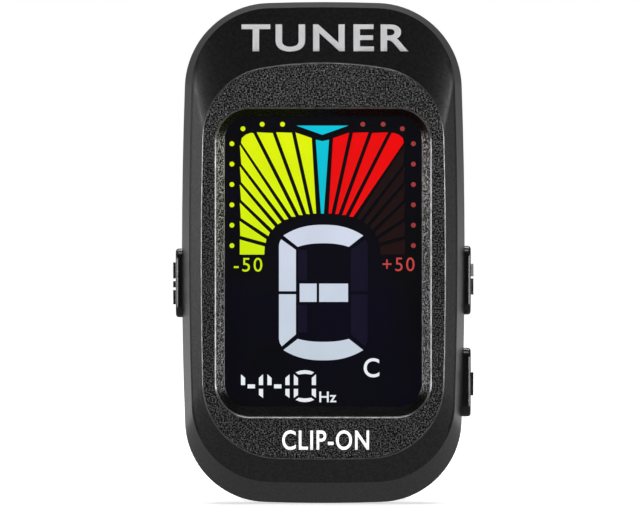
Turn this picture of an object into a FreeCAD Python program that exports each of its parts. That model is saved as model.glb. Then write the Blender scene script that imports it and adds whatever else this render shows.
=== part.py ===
import FreeCAD, Part
import math
import os
import Sketcher

# Clip-on instrument tuner. Millimetres, +Z up, +X to the right of someone facing the
# display, -Y towards that person. The origin is under the middle of the whole object.
# A "depth" is a distance back from the flat front face of the head.

DIMENSIONS = {
    # Head: where it stands and its outline at the parting line
    "reach": 26.0,
    "head_half": 15.8,
    "head_high": 56.0,
    "head_corner_low": 9.2,
    "head_corner_high": 9.6,
    "crown": 187.0,
    "flank": 540.0,
    "parting": 6.6,
    # Front shell: side band, sloping shoulder, then a raised flat face
    "band_depth": 2.2,
    "band_half": 14.95,
    "band_low": 2.35,
    "band_high": 55.33,
    "band_corner": 8.8,
    "face_step": 0.25,
    "face_half": 13.65,
    "face_low": 4.97,
    "face_high": 49.13,
    "face_crown": 40.0,
    "face_corner_low": 8.5,
    "face_corner_high": 7.9,
    "face_round": 0.18,
    # Bevelled frame round the display
    "bevel_half": 12.05,
    "bevel_low": 9.56,
    "bevel_high": 44.14,
    "bevel_corner": 3.9,
    "bevel_round": 0.15,
    "sight_half": 10.97,
    "sight_low": 10.84,
    "sight_high": 43.2,
    "sight_corner": 2.6,
    "sight_depth": 1.0,
    "lip_depth": 1.4,
    # Rear shell: sides that draw in, ever faster, to a flat back
    "back_depth": 13.0,
    "back_inset": 2.6,
    # Hollows inside the shells
    "cavity_half": 13.9,
    "cavity_low": 3.1,
    "cavity_high": 54.1,
    "cavity_corner": 6.2,
    "cavity_front": 3.0,
    "cavity_back": 10.0,
    "well_half": 12.6,
    "well_low": 4.2,
    "well_high": 52.8,
    "well_corner": 6.5,
    "well_back": 11.6,
    "bay_low": 28.0,
    "bay_back": 10.6,
    # Window pane, its gasket and the pocket that holds them
    "pocket_half": 12.6,
    "pocket_low": 9.0,
    "pocket_high": 45.0,
    "pocket_corner": 3.0,
    "pocket_back": 2.5,
    "pane_gap": 0.1,
    "pane_front": 1.6,
    "pane_back": 2.4,
    "gasket_half": 11.3,
    "gasket_low": 10.4,
    "gasket_high": 43.6,
    # Liquid crystal module
    "module_low": 6.3,
    "module_high": 45.5,
    "module_corner": 0.8,
    "cell_half": 11.9,
    "cell_low": 7.0,
    "cell_high": 44.7,
    "cell_front": 2.6,
    "cell_back": 4.4,
    "guide_front": 4.5,
    "guide_back": 6.0,
    "guide_low": 11.1,
    "reflector_front": 6.05,
    "reflector_back": 6.15,
    "reflector_low": 9.2,
    "light_half": 1.4,
    "light_pitch": 6.0,
    "light_low": 9.3,
    "light_high": 10.9,
    "light_front": 4.6,
    "light_back": 5.8,
    "tray_half": 12.5,
    "tray_low": 6.4,
    "tray_high": 45.4,
    "tray_front": 3.1,
    "tray_web": 6.2,
    "tray_back": 6.4,
    "tray_wall": 0.5,
    "tray_window_half": 10.5,
    "tray_window_low": 11.5,
    "tray_window_high": 43.0,
    "zebra_half": 10.0,
    "zebra_low": 7.3,
    "zebra_high": 8.7,
    "zebra_front": 4.45,
    "zebra_back": 6.45,
    # Circuit board and what stands on its rear face
    "board_half": 12.5,
    "board_low": 6.5,
    "board_high": 53.2,
    "board_corner_low": 1.5,
    "board_corner_high": 7.0,
    "board_front": 6.5,
    "board_back": 7.5,
    "board_hole": 0.95,
    "chip_x": -7.3,
    "chip_z": 14.0,
    "chip_side": 4.2,
    "chip_tall": 0.9,
    "chip_leg": 0.6,
    "chip_leg_wide": 0.35,
    "chip_leg_pitch": 0.8,
    "crystal_x": 5.2,
    "crystal_z": 17.5,
    "crystal_long": 3.2,
    "crystal_wide": 1.5,
    "crystal_tall": 0.8,
    "capacitor_long": 1.0,
    "capacitor_wide": 0.5,
    # Coin cell (20 mm across, 3.2 mm thick) and its two contacts
    "cell_z": 41.5,
    "coin_radius": 10.0,
    "coin_step": 0.35,
    "coin_front": 8.2,
    "coin_back": 11.4,
    "coin_hole": 10.35,
    "contact_thick": 0.2,
    "plus_x": 10.2,
    "plus_foot": 2.0,
    "plus_back": 10.3,
    "plus_half": 2.0,
    "minus_half": 1.5,
    # Vibration pickup glued inside the back wall
    "piezo_z": 10.0,
    "piezo_radius": 5.0,
    "piezo_front": 11.3,
    "piezo_back": 11.55,
    "ceramic_radius": 3.6,
    "ceramic_front": 11.1,
    "lead_radius": 0.25,
    # Four screws that close the shells
    "screw_low_x": 8.4,
    "screw_low_z": 4.75,
    "screw_high_x": 9.6,
    "screw_high_z": 50.8,
    "screw_seat": 10.0,
    "screw_head": 1.25,
    "screw_head_tall": 1.2,
    "screw_shank": 0.68,
    "screw_tip": 4.2,
    "screw_cross": 0.4,
    "pilot": 0.7,
    "clearance_hole": 0.8,
    "counterbore": 1.4,
    "front_boss_low": 1.5,
    "front_boss_high": 1.9,
    "front_boss_end": 6.5,
    "rear_boss_low": 1.7,
    "rear_boss_high": 2.2,
    # Side keys
    "key_front": 6.7,
    "key_back": 9.5,
    "key_half": 3.85,
    "key_corner": 1.2,
    "key_out": 16.5,
    "key_mark_out": 16.8,
    "key_round": 0.35,
    "key_gap": 0.1,
    "flange_in": 12.9,
    "flange_out": 13.8,
    "flange_out_low": 13.5,
    "flange_lip": 0.35,
    "power_z": 24.6,
    "up_z": 24.9,
    "down_z": 13.5,
    "mark_wide": 1.6,
    "stem_half": 0.45,
    "wing_half": 1.0,
    # Tact switches behind the keys
    "switch_in": 9.2,
    "switch_out": 12.45,
    "switch_half": 2.3,
    "switch_back": 9.1,
    "plunger_depth": 8.3,
    "plunger_radius": 0.6,
    "plunger_in": 11.6,
    "plunger_bore": 0.65,
    "plunger_bore_in": 11.2,
    # Sliding battery door
    "door_half": 11.4,
    "door_low": 29.0,
    "door_front": 11.8,
    "door_gap": 0.1,
    "recess_depth": 11.75,
    "tongue_half": 12.1,
    "tongue_back": 12.3,
    "rail_half": 12.2,
    "rail_back": 12.35,
    "rib_long": 9.0,
    "rib_wide": 0.6,
    "rib_tall": 0.25,
    "rib_pitch": 1.5,
    "rib_low": 30.9,
    # Ball joint between the head and the clip
    "ball_y": -5.5,
    "ball_z": 21.0,
    "ball": 4.5,
    "neck": 2.4,
    "stud_flange": 3.6,
    "stud_flange_thick": 0.6,
    "stud_gap": 0.02,
    "stud_bore": 2.45,
    "stud_boss": 4.0,
    "stud_boss_front": 10.8,
    "stem_front": 10.75,
    "washer": 3.4,
    "washer_front": 10.2,
    "stud_screw_head": 1.9,
    "stud_screw_front": 9.2,
    "stud_screw_shank": 0.9,
    "stud_screw_back": 15.0,
    "stud_pilot": 0.95,
    "stud_pilot_back": 15.5,
    "cup": 6.4,
    "cup_front": -7.5,
    "cup_hollow": 4.58,
    "cup_slot": 1.2,
    "cup_slot_back": -3.0,
    "seat_hollow": 4.55,
    "seat": 3.6,
    "seat_front": -2.4,
    "seat_back": 0.2,
    "seat_bore": 3.7,
    "seat_bore_back": 1.0,
    "seat_spring_in": 2.2,
    "seat_spring_out": 3.4,
    "seat_spring_front": 0.25,
    "seat_spring_back": 0.95,
    # Clip
    "arm_half": 9.5,
    "arm_front": 1.5,
    "arm_back": 4.5,
    "arm_high": 50.0,
    "arm_corner_high": 6.0,
    "arm_corner_low": 1.0,
    "arm_round": 0.6,
    "jaw_back": 6.0,
    "jaw_high": 15.0,
    "pivot_y": 9.0,
    "pivot_z": 31.0,
    "pin": 1.0,
    "ear_in": 6.9,
    "ear": 3.4,
    "ear_bore": 1.01,
    "inner_ear_in": 4.3,
    "inner_ear_out": 6.7,
    "inner_ear": 3.2,
    "inner_ear_bore": 1.05,
    "lever_in": 13.2,
    "lever_out": 16.2,
    "lever_jaw_in": 11.0,
    "lever_jaw_out": 14.2,
    "lever_bend": 33.0,
    "lever_tip_y": 26.0,
    "lever_tip_z": 48.6,
    "lever_end_y": 23.8,
    "lever_round": 0.9,
    "tip_corner": 4.0,
    "grip_radius": 0.5,
    "pad_half": 8.5,
    "pad_low": 1.0,
    "pad_high": 14.0,
    "pad_corner": 1.2,
    "pad_meet": 8.5,
    "pad_rib_tall": 0.8,
    "pad_rib_wide": 1.2,
    "pad_rib_pitch": 2.2,
    "coil_half": 3.6,
    "coil_in": 1.95,
    "coil_out": 2.65,
    "wire": 0.35,
    "front_leg_y": 4.88,
    "front_leg_z": 43.0,
    "rear_leg_y": 19.25,
    "rear_leg_z": 43.5,
}

DOC = FreeCAD.newDocument("clip_on_tuner")
SHEET = DOC.addObject("Spreadsheet::Sheet", "sizes")
SUBPARTS = []


class Size:
    """A length: the expression that drives it and its present value."""

    def __init__(self, text, value):
        self.text = text
        self.value = value

    def __add__(self, other):
        return joined(self, "+", other, lambda a, b: a + b)

    def __radd__(self, other):
        return joined(other, "+", self, lambda a, b: a + b)

    def __sub__(self, other):
        return joined(self, "-", other, lambda a, b: a - b)

    def __rsub__(self, other):
        return joined(other, "-", self, lambda a, b: a - b)

    def __mul__(self, other):
        return joined(self, "*", other, lambda a, b: a * b)

    def __rmul__(self, other):
        return joined(other, "*", self, lambda a, b: a * b)

    def __truediv__(self, other):
        return joined(self, "/", other, lambda a, b: a / b)

    def __neg__(self):
        return joined(0, "-", self, lambda a, b: a - b)


def as_size(number):
    """A plain number as a Size, and a Size as it is."""
    if isinstance(number, Size):
        return number
    return Size(f"({float(number):.6f})", float(number))


def joined(left, sign, right, work):
    """The Size that two others give."""
    left = as_size(left)
    right = as_size(right)
    return Size(f"({left.text} {sign} {right.text})", work(left.value, right.value))


class Sizes:
    """Every driving dimension as an attribute."""


def fill_sheet():
    """Write the driving dimensions into the spreadsheet and return them as sizes."""
    sizes = Sizes()
    for row, (name, value) in enumerate(DIMENSIONS.items(), start=1):
        SHEET.set(f"A{row}", name)
        SHEET.set(f"B{row}", str(value))
        SHEET.setAlias(f"B{row}", name)
        setattr(sizes, name, Size(f"sizes.{name}", value))
    DOC.recompute()
    return sizes


D = fill_sheet()


def at(depth):
    """The Y of a depth behind the front face."""
    return depth - D.reach


def subpart(thing, label):
    """Name a finished sub-part and put it on the list of pieces."""
    thing.Label = label
    SUBPARTS.append(thing)
    return thing


# ---------------------------------------------------------------------------------------
# Sketches

# Each view's origin plane, and the side of it that the sketch's normal points to
PLANES = {"front": ("XZ_Plane", -1), "side": ("YZ_Plane", 1), "plan": ("XY_Plane", 1)}


class Drawing:
    """A sketch parallel to an origin plane of its body, sized from the spreadsheet."""

    def __init__(self, owner, name, plane, offset):
        role, sign = PLANES[plane]
        self.plane = plane
        self.sketch = owner.newObject("Sketcher::SketchObject", name)
        support = [one for one in owner.Origin.OriginFeatures if one.Role == role][0]
        self.sketch.AttachmentSupport = [(support, "")]
        self.sketch.MapMode = "FlatFace"
        self.sketch.setExpression("AttachmentOffset.Base.z", (sign * as_size(offset)).text)

    def measure(self, kind, *places, size):
        """A dimension driven by the spreadsheet."""
        size = as_size(size)
        index = self.sketch.addConstraint(Sketcher.Constraint(kind, *places, size.value))
        self.sketch.setExpression(f"Constraints[{index}]", size.text)

    def put(self, curve, point, across, up):
        """Fix a curve's point at a place, on an axis where a coordinate is nothing."""
        for kind, axis, size in (("DistanceX", -2, across), ("DistanceY", -1, up)):
            size = as_size(size)
            if size.value == 0.0:
                rule = Sketcher.Constraint("PointOnObject", curve, point, axis)
                self.sketch.addConstraint(rule)
            else:
                self.measure(kind, -1, 1, curve, point, size=size)

    def line(self, start, end):
        ends = [FreeCAD.Vector(as_size(p[0]).value, as_size(p[1]).value, 0) for p in (start, end)]
        return self.sketch.addGeometry(Part.LineSegment(*ends), False)

    def arc(self, centre, radius, begin, end):
        middle = FreeCAD.Vector(centre[0], centre[1], 0)
        ring = Part.Circle(middle, FreeCAD.Vector(0, 0, 1), radius)
        return self.sketch.addGeometry(Part.ArcOfCircle(ring, begin, end), False)

    def circle(self, across, up, radius):
        """A whole circle."""
        middle = FreeCAD.Vector(as_size(across).value, as_size(up).value, 0)
        ring = Part.Circle(middle, FreeCAD.Vector(0, 0, 1), as_size(radius).value)
        curve = self.sketch.addGeometry(ring, False)
        self.measure("Radius", curve, size=radius)
        self.put(curve, 3, across, up)
        return self

    def polygon(self, corners):
        """Straight edges from corner to corner, closed."""
        count = len(corners)
        lines = [self.line(corners[i], corners[(i + 1) % count]) for i in range(count)]
        for i, curve in enumerate(lines):
            rule = Sketcher.Constraint("Coincident", curve, 2, lines[(i + 1) % count], 1)
            self.sketch.addConstraint(rule)
        for curve, corner in zip(lines, corners):
            self.put(curve, 1, *corner)
        return self

    def rounded(self, left, right, low, high, low_radius, high_radius=None):
        """A rectangle with round corners, the lower two and the upper two alike."""
        sides = [as_size(side) for side in (left, right, low, high)]
        x0, x1, z0, z1 = [side.value for side in sides]
        low_radius = as_size(low_radius)
        high_radius = low_radius if high_radius is None else as_size(high_radius)
        a, b = low_radius.value, high_radius.value
        bottom = self.line((x0 + a, z0), (x1 - a, z0))
        low_right = self.arc((x1 - a, z0 + a), a, 1.5 * math.pi, 2 * math.pi)
        right_side = self.line((x1, z0 + a), (x1, z1 - b))
        high_right = self.arc((x1 - b, z1 - b), b, 0, 0.5 * math.pi)
        top = self.line((x1 - b, z1), (x0 + b, z1))
        high_left = self.arc((x0 + b, z1 - b), b, 0.5 * math.pi, math.pi)
        left_side = self.line((x0, z1 - b), (x0, z0 + a))
        low_left = self.arc((x0 + a, z0 + a), a, math.pi, 1.5 * math.pi)
        ring = [bottom, low_right, right_side, high_right, top, high_left, left_side, low_left]
        self.close_smoothly(ring)
        for curve, rule in ((bottom, "Horizontal"), (top, "Horizontal")):
            self.sketch.addConstraint(Sketcher.Constraint(rule, curve))
        for curve, rule in ((left_side, "Vertical"), (right_side, "Vertical")):
            self.sketch.addConstraint(Sketcher.Constraint(rule, curve))
        for curve, radius in ((low_right, low_radius), (low_left, low_radius)):
            self.measure("Radius", curve, size=radius)
        for curve, radius in ((high_right, high_radius), (high_left, high_radius)):
            self.measure("Radius", curve, size=radius)
        self.measure_or_axis("DistanceX", left_side, sides[0])
        self.measure_or_axis("DistanceX", right_side, sides[1])
        self.measure_or_axis("DistanceY", bottom, sides[2])
        self.measure_or_axis("DistanceY", top, sides[3])
        return self

    def measure_or_axis(self, kind, curve, size):
        """One coordinate of a line's start, on the axis where it is nothing."""
        axis = {"DistanceX": -2, "DistanceY": -1}[kind]
        if size.value == 0.0:
            self.sketch.addConstraint(Sketcher.Constraint("PointOnObject", curve, 1, axis))
        else:
            self.measure(kind, -1, 1, curve, 1, size=size)

    def close_smoothly(self, ring):
        """Join each curve's end to the next one's start without a corner."""
        for i, curve in enumerate(ring):
            follower = ring[(i + 1) % len(ring)]
            self.sketch.addConstraint(Sketcher.Constraint("Tangent", curve, 2, follower, 1))

    def outline(self, half, low, high, corners, crowns, flank):
        """The head's outline: crowned ends, crowned flanks and round corners, all arcs."""
        half, low, high, flank = [as_size(one) for one in (half, low, high, flank)]
        corners = [as_size(one) for one in corners]
        crowns = [as_size(one) for one in crowns]
        middle = (low + high) / 2
        flank_at = (half - flank, middle)
        crown_at = (low + crowns[0], high - crowns[1])
        flank_point = (flank_at[0].value, middle.value)
        centres = []
        turns = []
        for end in (0, 1):
            crown_point = (0.0, crown_at[end].value)
            radius = corners[end].value
            centre = circles_meet(
                flank_point, flank.value - radius, crown_point, crowns[end].value - radius
            )
            centres.append(centre)
            turns.append((bearing(flank_point, centre), bearing(crown_point, centre)))
        (low_flank, low_crown), (high_flank, high_crown) = turns
        (low_x, low_z), (high_x, high_z) = centres
        pi = math.pi
        ring = [
            self.arc(flank_point, flank.value, low_flank, high_flank),
            self.arc((high_x, high_z), corners[1].value, high_flank, high_crown),
            self.arc((0, crown_at[1].value), crowns[1].value, high_crown, pi - high_crown),
            self.arc((-high_x, high_z), corners[1].value, pi - high_crown, pi - high_flank),
            self.arc((-flank_point[0], middle.value), flank.value, pi - high_flank, pi - low_flank),
            self.arc((-low_x, low_z), corners[0].value, pi - low_flank, pi - low_crown),
            self.arc((0, crown_at[0].value), crowns[0].value, pi - low_crown, 2 * pi + low_crown),
            self.arc((low_x, low_z), corners[0].value, 2 * pi + low_crown, 2 * pi + low_flank),
        ]
        self.close_smoothly(ring)
        radii = [flank, corners[1], crowns[1], corners[1], flank, corners[0], crowns[0], corners[0]]
        for curve, radius in zip(ring, radii):
            self.measure("Radius", curve, size=radius)
        self.put(ring[0], 3, flank_at[0], middle)
        self.put(ring[4], 3, -flank_at[0], middle)
        self.put(ring[2], 3, 0, crown_at[1])
        self.put(ring[6], 3, 0, crown_at[0])
        return self

    def tab(self, root, centre, up, radius):
        """A lug: a half round about a centre, with straight sides back to its root."""
        root, centre, up, radius = [as_size(one) for one in (root, centre, up, radius)]
        below = up.value - radius.value
        above = up.value + radius.value
        if root.value < centre.value:
            first, last = below, above
            turn = -0.5 * math.pi
        else:
            first, last = above, below
            turn = 0.5 * math.pi
        near = self.line((root.value, first), (centre.value, first))
        tip = self.arc((centre.value, up.value), radius.value, turn, turn + math.pi)
        far = self.line((centre.value, last), (root.value, last))
        back = self.line((root.value, last), (root.value, first))
        for one, other in ((near, tip), (tip, far)):
            self.sketch.addConstraint(Sketcher.Constraint("Tangent", one, 2, other, 1))
        for one, other in ((far, back), (back, near)):
            self.sketch.addConstraint(Sketcher.Constraint("Coincident", one, 2, other, 1))
        for curve, rule in ((near, "Horizontal"), (far, "Horizontal"), (back, "Vertical")):
            self.sketch.addConstraint(Sketcher.Constraint(rule, curve))
        self.measure("Radius", tip, size=radius)
        self.put(tip, 3, centre, up)
        self.measure_or_axis("DistanceX", back, root)
        return self


def circles_meet(first, first_radius, second, second_radius):
    """The meeting point of two circles that lies furthest from the middle line."""
    dx = second[0] - first[0]
    dy = second[1] - first[1]
    apart = math.hypot(dx, dy)
    along = (first_radius**2 - second_radius**2 + apart**2) / (2 * apart)
    aside = math.sqrt(first_radius**2 - along**2)
    foot = (first[0] + along * dx / apart, first[1] + along * dy / apart)
    pair = [
        (foot[0] + side * aside * dy / apart, foot[1] - side * aside * dx / apart)
        for side in (-1, 1)
    ]
    return max(pair, key=lambda point: point[0])


def bearing(start, end):
    """The angle of the way from one point to another."""
    return math.atan2(end[1] - start[1], end[0] - start[0])


# ---------------------------------------------------------------------------------------
# Features of a body

def new_body(name):
    return DOC.addObject("PartDesign::Body", name)


def pad(owner, name, drawing, length):
    """Material from the drawing towards +X, +Y or +Z."""
    feature = owner.newObject("PartDesign::Pad", name)
    feature.Profile = drawing.sketch
    feature.Reversed = drawing.plane == "front"
    feature.setExpression("Length", as_size(length).text)
    return feature


def pocket(owner, name, drawing, length):
    """A hollow from the drawing towards +X, +Y or +Z."""
    DOC.recompute()
    before = owner.Shape.Volume
    feature = owner.newObject("PartDesign::Pocket", name)
    feature.Profile = drawing.sketch
    feature.Reversed = drawing.plane != "front"
    feature.setExpression("Length", as_size(length).text)
    DOC.recompute()
    if owner.Shape.Volume > before - 1e-4:
        raise RuntimeError(f"{name} cut nothing")
    return feature


def loft(owner, name, drawings, kind="AdditiveLoft"):
    """Flat-ruled skin from one drawing through the others."""
    feature = owner.newObject(f"PartDesign::{kind}", name)
    feature.Profile = drawings[0].sketch
    feature.Sections = [one.sketch for one in drawings[1:]]
    feature.Ruled = True
    return feature


def fillet(owner, name, radius, wanted):
    """Round the edges of the body so far whose box passes the test."""
    DOC.recompute()
    base = owner.Tip
    names = [
        f"Edge{i}"
        for i, edge in enumerate(base.Shape.Edges, start=1)
        if wanted(edge.BoundBox)
    ]
    feature = owner.newObject("PartDesign::Fillet", name)
    feature.Base = (base, names)
    feature.setExpression("Radius", as_size(radius).text)
    return feature


def in_plane_y(y):
    """A test for edges that lie in one plane across Y."""
    return lambda box: abs(box.YMin - y.value) < 0.01 and abs(box.YMax - y.value) < 0.01


# ---------------------------------------------------------------------------------------
# Primitives and booleans

def set_base(thing, x, y, z):
    for axis, size in (("x", x), ("y", y), ("z", z)):
        thing.setExpression(f"Placement.Base.{axis}", as_size(size).text)


def block(name, x, y, z):
    """A box between two X, two Y and two Z."""
    box = DOC.addObject("Part::Box", name)
    for side, (start, end) in (("Length", x), ("Width", y), ("Height", z)):
        box.setExpression(side, (as_size(end) - start).text)
    set_base(box, x[0], y[0], z[0])
    return box


def round_bar(name, axis, ends, across, up, radius):
    """A cylinder along X, with (y, z) as its place, or along Y, with (x, z)."""
    bar = DOC.addObject("Part::Cylinder", name)
    if axis == "x":
        bar.Placement.Rotation = FreeCAD.Rotation(FreeCAD.Vector(0, 1, 0), 90)
        set_base(bar, ends[0], across, up)
    else:
        bar.Placement.Rotation = FreeCAD.Rotation(FreeCAD.Vector(1, 0, 0), -90)
        set_base(bar, across, ends[0], up)
    bar.setExpression("Radius", as_size(radius).text)
    bar.setExpression("Height", (as_size(ends[1]) - ends[0]).text)
    return bar


def ball(name, radius):
    """A sphere about the centre of the ball joint."""
    sphere = DOC.addObject("Part::Sphere", name)
    sphere.setExpression("Radius", as_size(radius).text)
    set_base(sphere, 0, D.ball_y, D.ball_z)
    return sphere


def fuse(name, shapes):
    whole = DOC.addObject("Part::MultiFuse", name)
    whole.Shapes = shapes
    whole.Refine = True
    return whole


def cut(name, base, tools):
    """The base less one or more tools."""
    rest = DOC.addObject("Part::Cut", name)
    rest.Base = base
    rest.Tool = tools[0] if len(tools) == 1 else fuse(name + "_tools", tools)
    rest.Refine = True
    return rest


def group(name, shapes):
    """Separate solids that make one sub-part."""
    together = DOC.addObject("Part::Compound", name)
    together.Links = shapes
    return together


# ---------------------------------------------------------------------------------------
# Shared geometry of the head

def head_outline(owner, name, depth, inset):
    """The head's outline at a depth, drawn in by an inset."""
    drawing = Drawing(owner, name, "front", at(depth))
    corners = [D.head_corner_low - inset, D.head_corner_high - inset]
    crowns = [D.crown - inset] * 2
    return drawing.outline(
        D.head_half - inset, 0 + as_size(inset), D.head_high - inset, corners, crowns,
        D.flank - inset,
    )


def cavity_outline(owner, name, depth):
    """The hollow that both shells share."""
    drawing = Drawing(owner, name, "front", at(depth))
    wall = D.head_half - D.cavity_half
    return drawing.outline(
        D.cavity_half, D.cavity_low, D.cavity_high, [D.cavity_corner] * 2,
        [D.crown - wall] * 2, D.flank - wall,
    )


def screw_places():
    """Each screw's place, and whether it is one of the upper two."""
    places = []
    for side in (-1, 1):
        places.append((side * D.screw_low_x, D.screw_low_z, False))
        places.append((side * D.screw_high_x, D.screw_high_z, True))
    return places


# The rear shell's section: the share of its depth, and the share of the inset, at each stage
BACK_PROFILE = (
    (0.0, 0.0), (0.15, 0.06), (0.32, 0.13), (0.52, 0.23), (0.7, 0.36), (0.84, 0.53),
    (0.94, 0.75), (1.0, 1.0),
)

# Each key: its name, the side it is on, its height and how far out its flange reaches,
# which is less where the case's wall curves in
KEYS = (
    ("power", -1, D.power_z, D.flange_out),
    ("up", 1, D.up_z, D.flange_out),
    ("down", 1, D.down_z, D.flange_out_low),
)


def outward(side, start, end):
    """An X range on one side of the head, lowest first."""
    return (start, end) if side > 0 else (-end, -start)


def key_openings(owner, first, last):
    """The slots that the keys stand in, open towards the parting line."""
    for name, side, z, flange_out in KEYS:
        low, high = z - D.key_half - D.key_gap, z + D.key_half + D.key_gap
        x0, x1 = outward(side, D.cavity_half - 0.5, D.head_half + 1)
        drawing = Drawing(owner, f"{name}_slot_sketch", "front", at(first))
        drawing.polygon([(x0, low), (x1, low), (x1, high), (x0, high)])
        pocket(owner, f"{name}_slot", drawing, last - first)


# ---------------------------------------------------------------------------------------
# Casing

def front_housing():
    """The front shell: band, shoulder, raised face, bevelled frame and screw bosses."""
    shell = new_body("front_housing")
    foot = head_outline(shell, "parting_outline", D.parting, 0)
    band = Drawing(shell, "band_outline", "front", at(D.band_depth)).outline(
        D.band_half, D.band_low, D.band_high, [D.band_corner] * 2, [D.crown] * 2, D.flank
    )
    face_shape = (
        D.face_half, D.face_low, D.face_high, [D.face_corner_low, D.face_corner_high],
        [D.crown, D.face_crown], D.flank,
    )
    slope_end = Drawing(shell, "slope_outline", "front", at(D.face_step)).outline(*face_shape)
    loft(shell, "shoulder", [foot, band, slope_end])
    step = Drawing(shell, "face_outline", "front", at(0)).outline(*face_shape)
    pad(shell, "face", step, D.face_step)
    fillet(shell, "face_rim", D.face_round, in_plane_y(at(as_size(0))))

    bevel = [
        Drawing(shell, f"bevel_{i}", "front", at(depth)).rounded(-half, half, low, high, radius)
        for i, (depth, half, low, high, radius) in enumerate(
            (
                (as_size(0), D.bevel_half, D.bevel_low, D.bevel_high, D.bevel_corner),
                (D.sight_depth, D.sight_half, D.sight_low, D.sight_high, D.sight_corner),
            )
        )
    ]
    loft(shell, "bevel", bevel, "SubtractiveLoft")
    sight = Drawing(shell, "sight_outline", "front", at(D.sight_depth)).rounded(
        -D.sight_half, D.sight_half, D.sight_low, D.sight_high, D.sight_corner
    )
    pocket(shell, "sight", sight, D.pocket_back - D.sight_depth)
    fillet(
        shell, "bevel_rim", D.bevel_round,
        lambda box: in_plane_y(at(as_size(0)))(box) and max(-box.XMin, box.XMax) < 12.2,
    )
    window = Drawing(shell, "window_outline", "front", at(D.lip_depth)).rounded(
        -D.pocket_half, D.pocket_half, D.pocket_low, D.pocket_high, D.pocket_corner
    )
    pocket(shell, "window_pocket", window, D.cavity_front - D.lip_depth)
    module = Drawing(shell, "module_outline", "front", at(D.pocket_back)).rounded(
        -D.pocket_half, D.pocket_half, D.module_low, D.module_high, D.module_corner
    )
    pocket(shell, "module_pocket", module, D.cavity_front - D.pocket_back)
    pocket(
        shell, "cavity", cavity_outline(shell, "cavity_outline", D.cavity_front),
        D.parting - D.cavity_front,
    )
    for i, (x, z, upper) in enumerate(screw_places()):
        radius = D.front_boss_high if upper else D.front_boss_low
        boss = Drawing(shell, f"boss_{i}_sketch", "front", at(D.cavity_front)).circle(x, z, radius)
        pad(shell, f"boss_{i}", boss, D.front_boss_end - D.cavity_front)
    for i, (x, z, upper) in enumerate(screw_places()):
        start = D.screw_tip - 0.4
        pilot = Drawing(shell, f"pilot_{i}_sketch", "front", at(start)).circle(x, z, D.pilot)
        pocket(shell, f"pilot_{i}", pilot, D.parting + 0.1 - start)
    subpart(shell, "front_housing")


def rear_solid(name):
    """The rear shell's outside as a solid body, its sides turning smoothly into its back."""
    solid = new_body(name)
    depth_left = D.back_depth - D.parting
    stages = [
        head_outline(
            solid, f"outline_{i}", D.parting + down * depth_left, inward * D.back_inset
        )
        for i, (down, inward) in enumerate(BACK_PROFILE)
    ]
    skin = loft(solid, "outside", stages)
    skin.Ruled = False
    return solid


def rear_housing():
    """The rear shell: battery bay, door rails, screw bosses and the ball stud's bore."""
    shell = rear_solid("rear_housing")
    pocket(
        shell, "cavity", cavity_outline(shell, "cavity_outline", D.parting),
        D.cavity_back - D.parting,
    )
    well = Drawing(shell, "well_outline", "front", at(D.cavity_back)).rounded(
        -D.well_half, D.well_half, D.well_low, D.well_high, D.well_corner
    )
    pocket(shell, "well", well, D.bay_back - D.cavity_back)
    deep = Drawing(shell, "deep_well_outline", "front", at(D.bay_back)).rounded(
        -D.well_half, D.well_half, D.well_low, D.bay_low, D.well_corner, 1.0
    )
    pocket(shell, "deep_well", deep, D.well_back - D.bay_back)
    for i, (x, z, upper) in enumerate(screw_places()):
        radius = D.rear_boss_high if upper else D.rear_boss_low
        start = D.board_back if upper else D.parting
        boss = Drawing(shell, f"boss_{i}_sketch", "front", at(start)).circle(x, z, radius)
        pad(shell, f"boss_{i}", boss, D.well_back + 0.1 - start)
    stud = Drawing(shell, "stud_boss_sketch", "front", at(D.stud_boss_front))
    stud.circle(0, D.ball_z, D.stud_boss)
    pad(shell, "stud_boss", stud, D.well_back + 0.1 - D.stud_boss_front)
    recess = Drawing(shell, "recess_sketch", "front", at(D.recess_depth))
    half = D.door_half + D.door_gap
    low = D.door_low - D.door_gap
    high = D.head_high + 1
    recess.polygon([(-half, low), (half, low), (half, high), (-half, high)])
    pocket(shell, "door_recess", recess, D.back_depth + 1 - D.recess_depth)
    rail = Drawing(shell, "rail_sketch", "front", at(D.recess_depth))
    rail.polygon([(-D.rail_half, low), (D.rail_half, low), (D.rail_half, high), (-D.rail_half, high)])
    pocket(shell, "door_rail", rail, D.rail_back - D.recess_depth)
    hole = Drawing(shell, "coin_sketch", "front", at(D.bay_back - 0.5))
    hole.circle(0, D.cell_z, D.coin_hole)
    pocket(shell, "coin_hole", hole, D.recess_depth + 0.1 - D.bay_back + 0.5)
    bore = Drawing(shell, "stud_bore_sketch", "front", at(D.stud_boss_front - 0.5))
    bore.circle(0, D.ball_z, D.stud_bore)
    pocket(shell, "stud_bore", bore, D.back_depth + 1 - D.stud_boss_front)
    for i, (x, z, upper) in enumerate(screw_places()):
        through = Drawing(shell, f"through_{i}_sketch", "front", at(D.parting - 0.1))
        through.circle(x, z, D.clearance_hole)
        pocket(shell, f"through_{i}", through, D.screw_seat + 0.2 - D.parting)
        seat = Drawing(shell, f"seat_{i}_sketch", "front", at(D.screw_seat))
        seat.circle(x, z, D.counterbore)
        pocket(shell, f"seat_{i}", seat, D.back_depth + 1 - D.screw_seat)
    key_openings(shell, D.parting, D.key_back + D.key_gap)
    subpart(shell, "rear_housing")


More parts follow.
